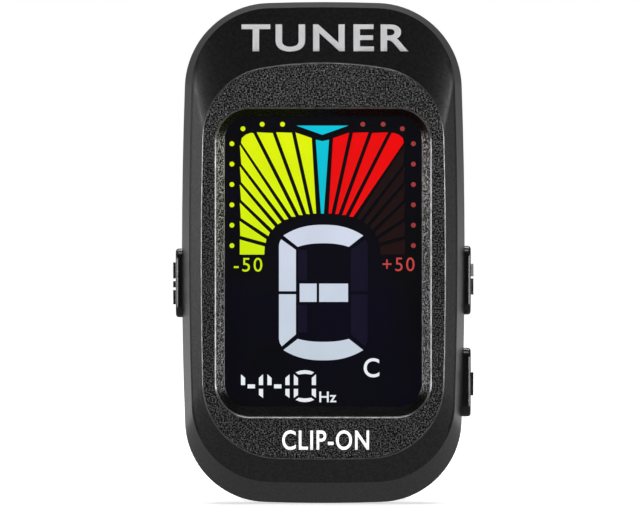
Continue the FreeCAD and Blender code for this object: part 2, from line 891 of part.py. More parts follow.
def battery_door():
    """The sliding door: a slice of the rear shell's outside with a tongue on each side."""
    outside = rear_solid("door_blank")
    slab = block(
        "door_slab",
        (-D.door_half, D.door_half),
        (at(D.door_front), at(D.back_depth + 1)),
        (D.door_low, D.head_high + 1),
    )
    plate = DOC.addObject("Part::Common", "door_plate")
    plate.Base = outside
    plate.Tool = slab
    parts = [plate]
    tongue_high = D.head_high - D.head_corner_high
    for side in (-1, 1):
        reach = outward(side, D.door_half - 0.5, D.tongue_half)
        depths = (at(D.door_front), at(D.tongue_back))
        parts.append(block("door_tongue", reach, depths, (D.door_low, tongue_high)))
    for i in range(5):
        low = D.rib_low + i * D.rib_pitch
        half = D.rib_long / 2
        depths = (at(D.back_depth - 0.1), at(D.back_depth + D.rib_tall))
        parts.append(block("door_rib", (-half, half), depths, (low, low + D.rib_wide)))
    subpart(fuse("battery_door", parts), "battery_door")


def housing_screws():
    """Four alike screws with cross-slotted heads."""
    screws = []
    for i, (x, z, upper) in enumerate(screw_places()):
        head_end = D.screw_seat + D.screw_head_tall
        seat = (at(D.screw_seat), at(head_end))
        shank_ends = (at(D.screw_tip), at(D.screw_seat + 0.1))
        head = round_bar(f"screw_head_{i}", "y", seat, x, z, D.screw_head)
        shank = round_bar(f"screw_shank_{i}", "y", shank_ends, x, z, D.screw_shank)
        whole = fuse(f"screw_blank_{i}", [head, shank])
        slot = (at(head_end - 0.6), at(head_end + 0.1))
        long = 0.9 * D.screw_head
        thin = D.screw_cross / 2
        upright = block(f"cross_up_{i}", (x - thin, x + thin), slot, (z - long, z + long))
        level = block(f"cross_level_{i}", (x - long, x + long), slot, (z - thin, z + thin))
        screws.append(cut(f"screw_{i}", whole, [upright, level]))
    subpart(group("housing_screws", screws), "housing_screws")


# ---------------------------------------------------------------------------------------
# Display

def plate_body(label, depths, half, low, high, radius, high_radius=None):
    """A flat plate with round corners between two depths."""
    plate = new_body(label)
    drawing = Drawing(plate, label + "_sketch", "front", at(depths[0]))
    drawing.rounded(-half, half, low, high, radius, high_radius)
    pad(plate, label + "_pad", drawing, depths[1] - depths[0])
    return plate


def window():
    """The clear pane and the gasket that seals it to the bevelled frame."""
    half = D.pocket_half - D.pane_gap
    low = D.pocket_low + D.pane_gap
    high = D.pocket_high - D.pane_gap
    corner = D.pocket_corner - D.pane_gap
    pane = plate_body("display_window", (D.pane_front, D.pane_back), half, low, high, corner)
    subpart(pane, "display_window")
    depths = (D.lip_depth, D.pane_front)
    gasket = plate_body("window_gasket", depths, half, low, high, corner)
    inner = Drawing(gasket, "gasket_hole", "front", at(depths[0]))
    inner.rounded(-D.gasket_half, D.gasket_half, D.gasket_low, D.gasket_high, D.sight_corner)
    pocket(gasket, "gasket_opening", inner, depths[1] - depths[0])
    subpart(gasket, "window_gasket")


def display_module():
    """The liquid crystal cell, its backlight and the tray that carries them."""
    cell = plate_body(
        "lcd_cell", (D.cell_front, D.cell_back), D.cell_half, D.cell_low, D.cell_high, 0.4
    )
    subpart(cell, "lcd_cell")
    guide = plate_body(
        "backlight_guide", (D.guide_front, D.guide_back), D.cell_half, D.guide_low,
        D.cell_high, 0.4,
    )
    subpart(guide, "backlight_guide")
    depths = (D.reflector_front, D.reflector_back)
    reflector = plate_body(
        "backlight_reflector", depths, D.cell_half, D.reflector_low, D.cell_high, 0.4
    )
    subpart(reflector, "backlight_reflector")
    lights = [
        block(
            f"light_{i}",
            (i * D.light_pitch - D.light_half, i * D.light_pitch + D.light_half),
            (at(D.light_front), at(D.light_back)),
            (D.light_low, D.light_high),
        )
        for i in (-1, 0, 1)
    ]
    subpart(group("backlight_leds", lights), "backlight_leds")

    depths = (D.tray_front, D.tray_back)
    tray = plate_body("lcd_frame", depths, D.tray_half, D.tray_low, D.tray_high, 0.6)
    wall = D.tray_wall
    inside = Drawing(tray, "tray_hollow", "front", at(D.tray_front)).rounded(
        wall - D.tray_half, D.tray_half - wall, D.tray_low + wall, D.tray_high - wall, 0.3
    )
    pocket(tray, "tray_inside", inside, D.tray_web - D.tray_front)
    opening = Drawing(tray, "tray_window", "front", at(D.tray_web)).rounded(
        -D.tray_window_half, D.tray_window_half, D.tray_window_low, D.tray_window_high, 1.0
    )
    pocket(tray, "tray_opening", opening, D.tray_back - D.tray_web)
    gap = D.pane_gap
    slot = Drawing(tray, "zebra_slot", "front", at(D.tray_web)).rounded(
        -D.zebra_half - gap, D.zebra_half + gap, D.zebra_low - gap, D.zebra_high + gap, 0.2
    )
    pocket(tray, "zebra_opening", slot, D.tray_back - D.tray_web)
    subpart(tray, "lcd_frame")
    zebra = plate_body(
        "zebra_connector", (D.zebra_front, D.zebra_back), D.zebra_half, D.zebra_low,
        D.zebra_high, 0.1,
    )
    subpart(zebra, "zebra_connector")


# ---------------------------------------------------------------------------------------
# Electronics

def main_board():
    """The circuit board, drilled for the upper two screws."""
    depths = (D.board_front, D.board_back)
    board = plate_body(
        "main_board", depths, D.board_half, D.board_low, D.board_high, D.board_corner_low,
        D.board_corner_high,
    )
    for i, (x, z, upper) in enumerate(screw_places()):
        if upper:
            hole = Drawing(board, f"hole_{i}_sketch", "front", at(D.board_front))
            hole.circle(x, z, D.board_hole)
            pocket(board, f"hole_{i}", hole, D.board_back - D.board_front)
    subpart(board, "main_board")


def board_components():
    """The controller with its legs, the crystal and the small capacitors."""
    back = D.board_back
    half = D.chip_side / 2
    top = back + D.chip_tall
    package = block(
        "chip_package",
        (D.chip_x - half, D.chip_x + half),
        (at(back + 0.1), at(top)),
        (D.chip_z - half, D.chip_z + half),
    )
    legs = []
    for i in (-2, -1, 0, 1, 2):
        z = D.chip_z + i * D.chip_leg_pitch
        for side in (-1, 1):
            near, far = half - 0.1, half + D.chip_leg
            x0 = D.chip_x + near if side > 0 else D.chip_x - far
            x1 = D.chip_x + far if side > 0 else D.chip_x - near
            thick = D.chip_leg_wide
            span = (z - thick / 2, z + thick / 2)
            legs.append(block("chip_leg", (x0, x1), (at(back), at(back + 0.3)), span))
    subpart(fuse("controller_chip", [package, *legs]), "controller_chip")
    crystal = block(
        "crystal",
        (D.crystal_x - D.crystal_long / 2, D.crystal_x + D.crystal_long / 2),
        (at(back), at(back + D.crystal_tall)),
        (D.crystal_z - D.crystal_wide / 2, D.crystal_z + D.crystal_wide / 2),
    )
    subpart(crystal, "crystal")
    places = ((-8.4, 19.5), (-5.8, 19.5), (6.6, 20.5), (7.6, 29.0), (-7.6, 29.0))
    capacitors = [
        block(
            "capacitor",
            (x - D.capacitor_long / 2, x + D.capacitor_long / 2),
            (at(back), at(back + D.capacitor_wide)),
            (z - D.capacitor_wide / 2, z + D.capacitor_wide / 2),
        )
        for x, z in ((as_size(x), as_size(z)) for x, z in places)
    ]
    subpart(group("board_capacitors", capacitors), "board_capacitors")


def battery():
    """The coin cell, with its stepped rim, and its two sprung contacts."""
    can_front = D.coin_front + D.coin_step
    cap = round_bar(
        "coin_cap", "y", (at(D.coin_front), at(can_front + 0.1)), 0, D.cell_z,
        D.coin_radius - 1.2,
    )
    can = round_bar(
        "coin_can", "y", (at(can_front), at(D.coin_back)), 0, D.cell_z, D.coin_radius
    )
    subpart(fuse("coin_cell", [cap, can]), "coin_cell")

    thick = D.contact_thick
    foot = at(D.board_back)
    plus = new_body("battery_contact_plus")
    shape = Drawing(plus, "plus_sketch", "plan", D.cell_z - D.plus_half)
    shape.polygon(
        [
            (D.plus_x, foot),
            (D.plus_x + D.plus_foot, foot),
            (D.plus_x + D.plus_foot, foot + thick),
            (D.plus_x + thick, foot + thick),
            (D.plus_x + thick, at(D.plus_back)),
            (D.plus_x, at(D.plus_back)),
        ]
    )
    pad(plus, "plus_strip", shape, 2 * D.plus_half)
    subpart(plus, "battery_contact_plus")

    minus = new_body("battery_contact_minus")
    crest = at(D.coin_front - 0.05)
    root, bend = D.cell_z - 8.5, D.cell_z - 5.5
    shape = Drawing(minus, "minus_sketch", "side", -D.minus_half)
    shape.polygon(
        [
            (foot, root),
            (foot + thick, root),
            (foot + thick, bend),
            (crest, D.cell_z + 1.5),
            (crest - 0.15, D.cell_z + 4.5),
            (crest - 0.15 - thick, D.cell_z + 4.5),
            (crest - thick, D.cell_z + 1.5),
            (foot, bend + 0.2),
        ]
    )
    pad(minus, "minus_strip", shape, 2 * D.minus_half)
    subpart(minus, "battery_contact_minus")


def piezo():
    """The vibration pickup and the two wires from it to the board."""
    disc = round_bar(
        "piezo_disc", "y", (at(D.piezo_front), at(D.piezo_back)), 0, D.piezo_z, D.piezo_radius
    )
    subpart(disc, "piezo_disc")
    ceramic = round_bar(
        "piezo_ceramic", "y", (at(D.ceramic_front), at(D.piezo_front)), 0, D.piezo_z,
        D.ceramic_radius,
    )
    subpart(ceramic, "piezo_ceramic")
    leads = [
        round_bar(f"lead_{i}", "y", (at(D.board_back), at(end)), x, D.piezo_z, D.lead_radius)
        for i, (x, end) in enumerate(
            ((as_size(1.0), D.ceramic_front), (0.5 - D.piezo_radius, D.piezo_front))
        )
    ]
    subpart(group("piezo_leads", leads), "piezo_leads")


# ---------------------------------------------------------------------------------------
# Side keys

def key_marks(owner, name, side, z):
    """Raised marks on a key's outer face: bars, an arrow up or a triangle down."""
    x = D.key_out - 0.1
    start = x if side > 0 else -D.key_mark_out
    middle = at((D.key_front + D.key_back) / 2)
    half = D.mark_wide / 2
    wing = D.wing_half
    shapes = {
        "power": [
            [(middle - half, z + low), (middle + half, z + low),
             (middle + half, z + high), (middle - half, z + high)]
            for low, high in ((-2.4, -0.8), (-0.5, 0.2), (0.5, 2.3))
        ],
        "up": [
            [(middle - D.stem_half, z - 1.6), (middle + D.stem_half, z - 1.6),
             (middle + D.stem_half, z + 0.2), (middle - D.stem_half, z + 0.2)],
            [(middle - wing, z + 0.45), (middle + wing, z + 0.45), (middle, z + 1.85)],
        ],
        "down": [[(middle - wing, z + 1.1), (middle, z - 1.5), (middle + wing, z + 1.1)]],
    }
    for i, corners in enumerate(shapes[name]):
        mark = Drawing(owner, f"{name}_mark_{i}_sketch", "side", start).polygon(corners)
        pad(owner, f"{name}_mark_{i}", mark, D.key_mark_out - x)


def keys():
    """Each side key with its retaining flange, its switch and the switch's plunger."""
    for name, side, z, flange_out in KEYS:
        key = new_body(f"{name}_button")
        front, back = at(D.key_front), at(D.key_back)
        lip = D.flange_lip
        flange_x = outward(side, D.flange_in, flange_out)
        flange = Drawing(key, "flange_sketch", "side", flange_x[0]).rounded(
            front - lip, back + lip, z - D.key_half - lip, z + D.key_half + lip, D.key_corner
        )
        pad(key, "flange", flange, flange_out - D.flange_in)
        cap_x = outward(side, flange_out - 0.1, D.key_out)
        cap = Drawing(key, "cap_sketch", "side", cap_x[0]).rounded(
            front, back, z - D.key_half, z + D.key_half, D.key_corner
        )
        pad(key, "cap", cap, D.key_out - flange_out + 0.1)
        face_x = side * D.key_out.value
        fillet(
            key, "cap_rim", D.key_round,
            lambda box: abs(box.XMin - face_x) < 0.01 and abs(box.XMax - face_x) < 0.01,
        )
        key_marks(key, name, side, z)
        subpart(key, f"{name}_button")

        depth = at(D.plunger_depth)
        body_x = outward(side, D.switch_in, D.switch_out)
        case = block(
            f"{name}_switch_case", body_x, (at(D.board_back), at(D.switch_back)),
            (z - D.switch_half, z + D.switch_half),
        )
        bore_x = outward(side, D.plunger_bore_in, D.switch_out + 0.1)
        bore = round_bar(f"{name}_switch_bore", "x", bore_x, depth, z, D.plunger_bore)
        subpart(cut(f"{name}_switch", case, [bore]), f"{name}_switch")
        rod_x = outward(side, D.plunger_in, D.flange_in)
        rod = round_bar(f"{name}_plunger", "x", rod_x, depth, z, D.plunger_radius)
        subpart(rod, f"{name}_plunger")


# ---------------------------------------------------------------------------------------
# Ball joint

def ball_stud():
    """Ball, neck, flange and stem in one, with the washer and screw that hold it."""
    face = at(D.back_depth)
    flange = (face + D.stud_gap, face + D.stud_flange_thick)
    parts = [
        ball("ball", D.ball),
        round_bar("neck", "y", (face, D.ball_y), 0, D.ball_z, D.neck),
        round_bar("stud_flange", "y", flange, 0, D.ball_z, D.stud_flange),
        round_bar("stem", "y", (at(D.stem_front), face + 0.1), 0, D.ball_z, D.neck),
    ]
    pilot_ends = (at(D.stem_front - 0.1), at(D.stud_pilot_back))
    pilot = round_bar("stud_pilot", "y", pilot_ends, 0, D.ball_z, D.stud_pilot)
    subpart(cut("ball_stud", fuse("stud_blank", parts), [pilot]), "ball_stud")

    washer_ends = (at(D.washer_front), at(D.stem_front))
    ring = round_bar("washer_ring", "y", washer_ends, 0, D.ball_z, D.washer)
    hole_ends = (at(D.washer_front - 0.1), at(D.stem_front + 0.1))
    hole = round_bar("washer_hole", "y", hole_ends, 0, D.ball_z, D.stud_pilot)
    subpart(cut("stud_washer", ring, [hole]), "stud_washer")

    head_ends = (at(D.stud_screw_front), at(D.washer_front))
    head = round_bar("stud_screw_head", "y", head_ends, 0, D.ball_z, D.stud_screw_head)
    shank_ends = (at(D.washer_front - 0.1), at(D.stud_screw_back))
    shank = round_bar("stud_shank", "y", shank_ends, 0, D.ball_z, D.stud_screw_shank)
    subpart(fuse("stud_screw", [head, shank]), "stud_screw")


def ball_seat():
    """The hollow-faced seat behind the ball and the spring ring that pushes it."""
    slug = round_bar("seat_slug", "y", (D.seat_front, D.seat_back), 0, D.ball_z, D.seat)
    subpart(cut("ball_seat", slug, [ball("seat_face", D.seat_hollow)]), "ball_seat")
    ends = (D.seat_spring_front, D.seat_spring_back)
    ring = round_bar("spring_ring", "y", ends, 0, D.ball_z, D.seat_spring_out)
    hole_ends = (ends[0] - 0.1, ends[1] + 0.1)
    hole = round_bar("spring_hole", "y", hole_ends, 0, D.ball_z, D.seat_spring_in)
    subpart(cut("seat_spring", ring, [hole]), "seat_spring")


# ---------------------------------------------------------------------------------------
# Clip

def clip_front_arm():
    """The fixed arm: plate, jaw boss, pivot ears and the slotted cup of the ball joint."""
    arm = new_body("front_arm_body")
    half = D.arm_half
    plate = Drawing(arm, "plate_sketch", "front", D.arm_front)
    plate.rounded(-half, half, 0, D.arm_high, D.arm_corner_low, D.arm_corner_high)
    pad(arm, "plate", plate, D.arm_back - D.arm_front)
    fillet(
        arm, "plate_rim", D.arm_round,
        lambda box: in_plane_y(D.arm_front)(box) and box.ZMax > 0.1,
    )
    jaw = Drawing(arm, "jaw_sketch", "front", D.arm_back - 0.5)
    jaw.rounded(-half, half, 0, D.jaw_high, D.arm_corner_low)
    pad(arm, "jaw", jaw, D.jaw_back - D.arm_back + 0.5)
    cup = Drawing(arm, "cup_sketch", "front", D.cup_front).circle(0, D.ball_z, D.cup)
    pad(arm, "cup", cup, D.arm_front + 0.5 - D.cup_front)
    fillet(arm, "cup_rim", D.arm_round, in_plane_y(D.cup_front))
    for side in (-1, 1):
        start = outward(side, D.ear_in, half)[0]
        ear = Drawing(arm, f"ear_{side + 1}_sketch", "side", start)
        ear.tab(D.arm_back - 0.5, D.pivot_y, D.pivot_z, D.ear)
        pad(arm, f"ear_{side + 1}", ear, half - D.ear_in)
    bore = Drawing(arm, "ear_bore_sketch", "side", -half - 1)
    bore.circle(D.pivot_y, D.pivot_z, D.ear_bore)
    pocket(arm, "ear_bore", bore, 2 * half + 2)

    tools = [ball("cup_hollow", D.cup_hollow)]
    seat_ends = (D.seat_front - 0.1, D.seat_bore_back)
    tools.append(round_bar("seat_bore", "y", seat_ends, 0, D.ball_z, D.seat_bore))
    slot = (D.cup_front - 1, D.cup_slot_back)
    thin, wide = D.cup_slot / 2, D.cup + 1
    tools.append(block("slot_level", (-wide, wide), slot, (D.ball_z - thin, D.ball_z + thin)))
    tools.append(block("slot_up", (-thin, thin), slot, (D.ball_z - wide, D.ball_z + wide)))
    subpart(cut("clip_front_arm", arm, tools), "clip_front_arm")


def clip_rear_arm():
    """The moving arm: cranked lever with a jaw below the pivot and a thumb grip above."""
    lever = new_body("lever_body")
    half = D.arm_half
    neck = D.lever_bend
    profile = Drawing(lever, "lever_sketch", "side", -half)
    profile.polygon(
        [
            (D.lever_jaw_in, 0),
            (D.lever_jaw_out, 0),
            (D.lever_jaw_out, D.jaw_high - 1),
            (D.lever_out, D.jaw_high + 2),
            (D.lever_out, neck - 0.6),
            (D.lever_tip_y, D.lever_tip_z),
            (D.lever_end_y, D.arm_high),
            (D.lever_in, neck),
            (D.lever_in, D.jaw_high + 2.5),
            (D.lever_jaw_in, D.jaw_high),
        ]
    )
    pad(lever, "lever", profile, 2 * half)
    fillet(
        lever, "tip_corners", D.tip_corner,
        lambda box: box.XLength < 0.01 and box.ZMin > D.lever_tip_z.value - 0.1,
    )
    fillet(
        lever, "foot_corners", D.arm_corner_low,
        lambda box: box.XLength < 0.01 and box.ZMax < 0.01,
    )
    fillet(
        lever, "bends", D.lever_round,
        lambda box: box.XLength > 2 * half.value - 0.01 and 1 < box.ZMin < D.arm_high.value - 1.6,
    )
    fillet(
        lever, "outer_edges", D.arm_round,
        lambda box: box.XLength < 0.01 and on_outer_side(box),
    )
    for side in (-1, 1):
        start = outward(side, D.inner_ear_in, D.inner_ear_out)[0]
        ear = Drawing(lever, f"ear_{side + 1}_sketch", "side", start)
        ear.tab(D.lever_in + 0.5, D.pivot_y, D.pivot_z, D.inner_ear)
        pad(lever, f"ear_{side + 1}", ear, D.inner_ear_out - D.inner_ear_in)
    bore = Drawing(lever, "ear_bore_sketch", "side", -half - 1)
    bore.circle(D.pivot_y, D.pivot_z, D.inner_ear_bore)
    pocket(lever, "ear_bore", bore, 2 * half + 2)

    ridges = []
    for i in range(6):
        share = 0.32 + 0.1 * i
        y = D.lever_out + share * (D.lever_tip_y - D.lever_out)
        z = neck - 0.6 + share * (D.lever_tip_z - neck + 0.6)
        reach = half - 1.5
        ridges.append(round_bar(f"ridge_{i}", "x", (-reach, reach), y, z, D.grip_radius))
    subpart(fuse("clip_rear_arm", [lever, *ridges]), "clip_rear_arm")


def on_outer_side(box):
    """Whether an edge of the lever lies along its back rather than its inner side."""
    y = (box.YMin + box.YMax) / 2
    z = (box.ZMin + box.ZMax) / 2
    straight = D.lever_jaw_out.value - 0.1
    if z > D.lever_bend.value:
        inner = D.lever_in.value + (z - D.lever_bend.value) * 0.62
        return y > inner + 1.5 and box.ZLength > 2
    return y > straight and box.ZLength > 2


def jaw_pads():
    """Two rubber pads whose ribs meet when the clip is shut."""
    sides = (
        ("front_jaw_pad", D.jaw_back, D.pad_meet - D.pad_rib_tall, D.pad_meet),
        ("rear_jaw_pad", D.pad_meet + D.pad_rib_tall, D.lever_jaw_in, D.pad_meet),
    )
    for label, near, far, meet in sides:
        base = new_body(label + "_base")
        sheet = Drawing(base, "base_sketch", "front", near)
        sheet.rounded(-D.pad_half, D.pad_half, D.pad_low, D.pad_high, D.pad_corner)
        pad(base, "base", sheet, far - near)
        crest = (far - 0.1, meet) if label.startswith("front") else (meet, near + 0.1)
        ribs = []
        for i in range(6):
            low = D.pad_low + 0.4 + i * D.pad_rib_pitch
            span = (D.pad_corner - D.pad_half, D.pad_half - D.pad_corner)
            ribs.append(block(f"{label}_rib_{i}", span, crest, (low, low + D.pad_rib_wide)))
        subpart(fuse(label, [base, *ribs]), label)


def pivot():
    """The hinge pin and the torsion spring wound on it, with a leg along each arm."""
    ends = (-D.arm_half, D.arm_half)
    subpart(round_bar("pivot_pin", "x", ends, D.pivot_y, D.pivot_z, D.pin), "pivot_pin")
    coil_ends = (-D.coil_half, D.coil_half)
    outer = round_bar("coil_outside", "x", coil_ends, D.pivot_y, D.pivot_z, D.coil_out)
    hole_ends = (-D.coil_half - 1, D.coil_half + 1)
    inner = round_bar("coil_inside", "x", hole_ends, D.pivot_y, D.pivot_z, D.coil_in)
    parts = [cut("coil", outer, [inner])]
    mean = (D.coil_in + D.coil_out) / 2
    legs = (
        ("front_leg", D.wire - D.coil_half, D.pivot_y - mean, D.front_leg_y, D.front_leg_z),
        ("rear_leg", D.coil_half - D.wire, D.pivot_y + mean, D.rear_leg_y, D.rear_leg_z),
    )
    for name, x, start_y, end_y, end_z in legs:
        rise = (end_y - start_y).value, (end_z - D.pivot_z).value
        leg = DOC.addObject("Part::Cylinder", name)
        way = FreeCAD.Vector(0, rise[0], rise[1])
        leg.Placement.Rotation = FreeCAD.Rotation(FreeCAD.Vector(0, 0, 1), way)
        set_base(leg, x, start_y, D.pivot_z)
        leg.setExpression("Radius", D.wire.text)
        run = f"sqrt({(end_y - start_y).text} ^ 2 + {(end_z - D.pivot_z).text} ^ 2)"
        leg.setExpression("Height", run)
        parts.append(leg)
    subpart(fuse("torsion_spring", parts), "torsion_spring")


# ---------------------------------------------------------------------------------------
# Build, check and write

def check_all():
    """Stop if anything in the document failed or any sub-part's shape is not sound."""
    DOC.recompute()
    for thing in DOC.Objects:
        if {"Invalid", "Error"} & set(thing.State):
            raise RuntimeError(f"{thing.Name} ({thing.Label}): {thing.State}")
    for thing in SUBPARTS:
        if thing.Shape.isNull() or not thing.Shape.isValid() or not thing.Shape.Solids:
            raise RuntimeError(f"{thing.Label} has no sound shape")


def main():
    for make in (
        front_housing, rear_housing, battery_door, housing_screws, window, display_module,
        main_board, board_components, battery, piezo, keys, ball_stud, ball_seat,
        clip_front_arm, clip_rear_arm, jaw_pads, pivot,
    ):
        make()
    check_all()
    os.makedirs("parts", exist_ok=True)
    for thing in SUBPARTS:
        thing.Shape.exportStep(f"parts/{thing.Label}.step")
        print(f"{thing.Label}: {thing.Shape.Volume:.1f} mm3, {len(thing.Shape.Solids)} solid(s)")


main()
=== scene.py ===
import math
import bmesh
import bpy
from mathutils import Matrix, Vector
from mathutils.bvhtree import BVHTree


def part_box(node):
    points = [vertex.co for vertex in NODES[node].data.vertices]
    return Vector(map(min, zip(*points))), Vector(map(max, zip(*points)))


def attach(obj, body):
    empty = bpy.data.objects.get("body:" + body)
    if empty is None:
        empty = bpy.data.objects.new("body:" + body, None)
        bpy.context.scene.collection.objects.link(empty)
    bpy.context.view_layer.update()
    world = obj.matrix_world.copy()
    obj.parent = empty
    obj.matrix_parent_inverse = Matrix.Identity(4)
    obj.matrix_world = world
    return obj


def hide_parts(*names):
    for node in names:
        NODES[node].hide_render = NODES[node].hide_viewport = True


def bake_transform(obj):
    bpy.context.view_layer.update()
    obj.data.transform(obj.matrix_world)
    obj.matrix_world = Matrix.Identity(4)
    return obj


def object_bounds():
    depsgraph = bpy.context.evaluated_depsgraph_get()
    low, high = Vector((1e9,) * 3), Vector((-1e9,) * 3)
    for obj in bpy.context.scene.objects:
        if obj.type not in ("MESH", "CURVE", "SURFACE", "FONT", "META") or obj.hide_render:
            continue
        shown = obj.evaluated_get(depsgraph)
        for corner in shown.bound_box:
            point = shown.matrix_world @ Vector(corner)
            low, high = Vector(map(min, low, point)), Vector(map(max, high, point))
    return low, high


# Looks for the clip-on tuner. Metres, +Z up, +X to the right of someone facing the
# display, -Y towards that person, as in the CAD frame.

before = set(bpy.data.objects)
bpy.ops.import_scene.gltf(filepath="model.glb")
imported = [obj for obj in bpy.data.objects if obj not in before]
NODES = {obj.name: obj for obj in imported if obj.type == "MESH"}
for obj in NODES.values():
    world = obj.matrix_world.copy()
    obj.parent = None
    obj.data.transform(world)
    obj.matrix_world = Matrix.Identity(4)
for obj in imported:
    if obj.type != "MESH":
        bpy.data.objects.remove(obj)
CAD_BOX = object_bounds()
MM = 0.001


# ---------------------------------------------------------------- materials


class Recipe:
    """A material's node tree. Each method adds a node and returns the socket it gives."""

    def __init__(self, name):
        self.material = bpy.data.materials.new(name)
        self.material.use_nodes = True
        self.tree = self.material.node_tree
        self.tree.nodes.clear()
        self.place = self.add("ShaderNodeTexCoord").outputs["Object"]

    def add(self, kind, **settings):
        made = self.tree.nodes.new(kind)
        for name, value in settings.items():
            setattr(made, name, value)
        return made

    def feed(self, socket, value):
        """A number, a colour or another node's socket goes into the socket."""
        if isinstance(value, bpy.types.NodeSocket):
            self.tree.links.new(value, socket)
        else:
            socket.default_value = value

    def calc(self, operation, *values):
        made = self.add("ShaderNodeMath", operation=operation)
        for socket, value in zip(made.inputs, values):
            self.feed(socket, value)
        return made.outputs[0]

    def times(self, first, second):
        return self.calc("MULTIPLY", first, second)

    def axis(self, letter):
        """The X, Y or Z place in the rest frame, in metres."""
        made = self.add("ShaderNodeSeparateXYZ")
        self.feed(made.inputs[0], self.place)
        return made.outputs[letter]

    def ramp(self, value, start, end, low=0.0, high=1.0):
        made = self.add("ShaderNodeMapRange", interpolation_type="SMOOTHSTEP")
        for name, given in zip(
            ("Value", "From Min", "From Max", "To Min", "To Max"), (value, start, end, low, high)
        ):
            self.feed(made.inputs[name], given)
        return made.outputs[0]

    def band(self, value, rise, fall):
        """1 from the end of the rise to the start of the fall, 0 outside them."""
        return self.times(self.ramp(value, *rise), self.ramp(value, *fall, 1.0, 0.0))

    def stretched(self, stretch):
        made = self.add("ShaderNodeVectorMath", operation="MULTIPLY")
        self.feed(made.inputs[0], self.place)
        made.inputs[1].default_value = stretch
        return made.outputs[0]

    def noise(self, grain, detail=2.0, rough=0.5, stretch=None):
        """Cloudy noise whose lumps are about one grain across, 0 to 1."""
        made = self.add("ShaderNodeTexNoise")
        self.feed(made.inputs["Vector"], self.stretched(stretch) if stretch else self.place)
        made.inputs["Scale"].default_value = 1.0 / grain
        made.inputs["Detail"].default_value = detail
        made.inputs["Roughness"].default_value = rough
        return made.outputs[0]

    def cells(self, grain, stretch=None):
        """Distance from scattered points about one grain apart, 0 to about 1."""
        made = self.add("ShaderNodeTexVoronoi")
        self.feed(made.inputs["Vector"], self.stretched(stretch) if stretch else self.place)
        made.inputs["Scale"].default_value = 1.0 / grain
        return made.outputs[0]

    def mixed(self, share, first, second):
        made = self.add("ShaderNodeMix", data_type="RGBA")
        self.feed(made.inputs[0], share)
        self.feed(made.inputs[6], first)
        self.feed(made.inputs[7], second)
        return made.outputs[2]

    def between(self, share, first, second):
        made = self.add("ShaderNodeMix", data_type="FLOAT")
        self.feed(made.inputs[0], share)
        self.feed(made.inputs[2], first)
        self.feed(made.inputs[3], second)
        return made.outputs[0]

    def bump(self, height, depth, normal=None):
        made = self.add("ShaderNodeBump")
        self.feed(made.inputs["Height"], height)
        made.inputs["Distance"].default_value = depth
        if normal is not None:
            self.feed(made.inputs["Normal"], normal)
        return made.outputs[0]

    def eased(self, radius):
        """A shading normal that rounds every edge by that radius."""
        made = self.add("ShaderNodeBevel", samples=4)
        made.inputs["Radius"].default_value = radius
        return made.outputs[0]

    def rubbed(self, radius):
        """1 on edges that hands rub, 0 elsewhere."""
        flat = self.add("ShaderNodeNewGeometry").outputs["Normal"]
        made = self.add("ShaderNodeVectorMath", operation="DOT_PRODUCT")
        self.feed(made.inputs[0], self.eased(radius))
        self.feed(made.inputs[1], flat)
        return self.ramp(made.outputs["Value"], 0.995, 0.9)

    def finish(self, **inputs):
        """The surface itself; a name's words are joined by underscores."""
        shader = self.add("ShaderNodeBsdfPrincipled")
        for name, value in inputs.items():
            self.feed(shader.inputs[name.replace("_", " ")], value)
        return self.output(shader.outputs[0])

    def output(self, surface):
        made = self.add("ShaderNodeOutputMaterial")
        self.feed(made.inputs["Surface"], surface)
        return self.material


def grey(level, tint=(1.0, 1.0, 1.0)):
    return tuple(level * part for part in tint) + (1.0,)


def moulded(name, level, rough, grain, relief, wear, tint=(1.0, 1.0, 1.05)):
    """Moulded plastic: fine spark-eroded relief and edges polished by handling."""
    made = Recipe(name)
    lumps = made.noise(grain, 3.0, 0.6)
    clouds = made.noise(6 * MM, 2.0)
    edge = made.rubbed(0.35 * MM)
    colour = made.mixed(clouds, grey(level * 0.8, tint), grey(level * 1.25, tint))
    colour = made.mixed(made.times(edge, wear), colour, grey(level * 2.6, tint))
    coarse = made.calc("MULTIPLY_ADD", lumps, 0.16, rough - 0.08)
    coarse = made.calc("SUBTRACT", coarse, made.times(edge, wear * 0.3))
    normal = made.bump(lumps, relief, made.eased(0.12 * MM))
    return made.finish(Base_Color=colour, Roughness=coarse, Normal=normal)


# The bevelled frame's rounded outline, from a middle just below the pane's, then where the
# face, the rims, the frame's inner lip and the side's crease start and end, as depths back
# from the flat face. The rims and the lip carry painted highlight lines and the crease carries
# painted shade; the crease is only near the sides, and the painted gleam grows with height.
FRAME_HALF_WIDE = 12.2 * MM
FRAME_HALF_HIGH = 17.44 * MM
FRAME_CORNER = 3.9 * MM
FRAME_DROP = 0.15 * MM
FACE_DEPTH = (0.001 * MM, 0.007 * MM)
RIM_RISE, RIM_FALL = (0.004 * MM, 0.02 * MM), (0.15 * MM, 0.2 * MM)
PAST_RIM = (0.1 * MM, 0.16 * MM)
LIP_RISE, LIP_FALL = (0.9 * MM, 0.96 * MM), (1.0 * MM, 1.06 * MM)
CREASE_RISE, CREASE_FALL = (1.75 * MM, 2.0 * MM), (2.2 * MM, 2.45 * MM)
CREASE_SIDE = (13.4 * MM, 14.2 * MM)
GLEAM_HEIGHTS = (20 * MM, 48 * MM)


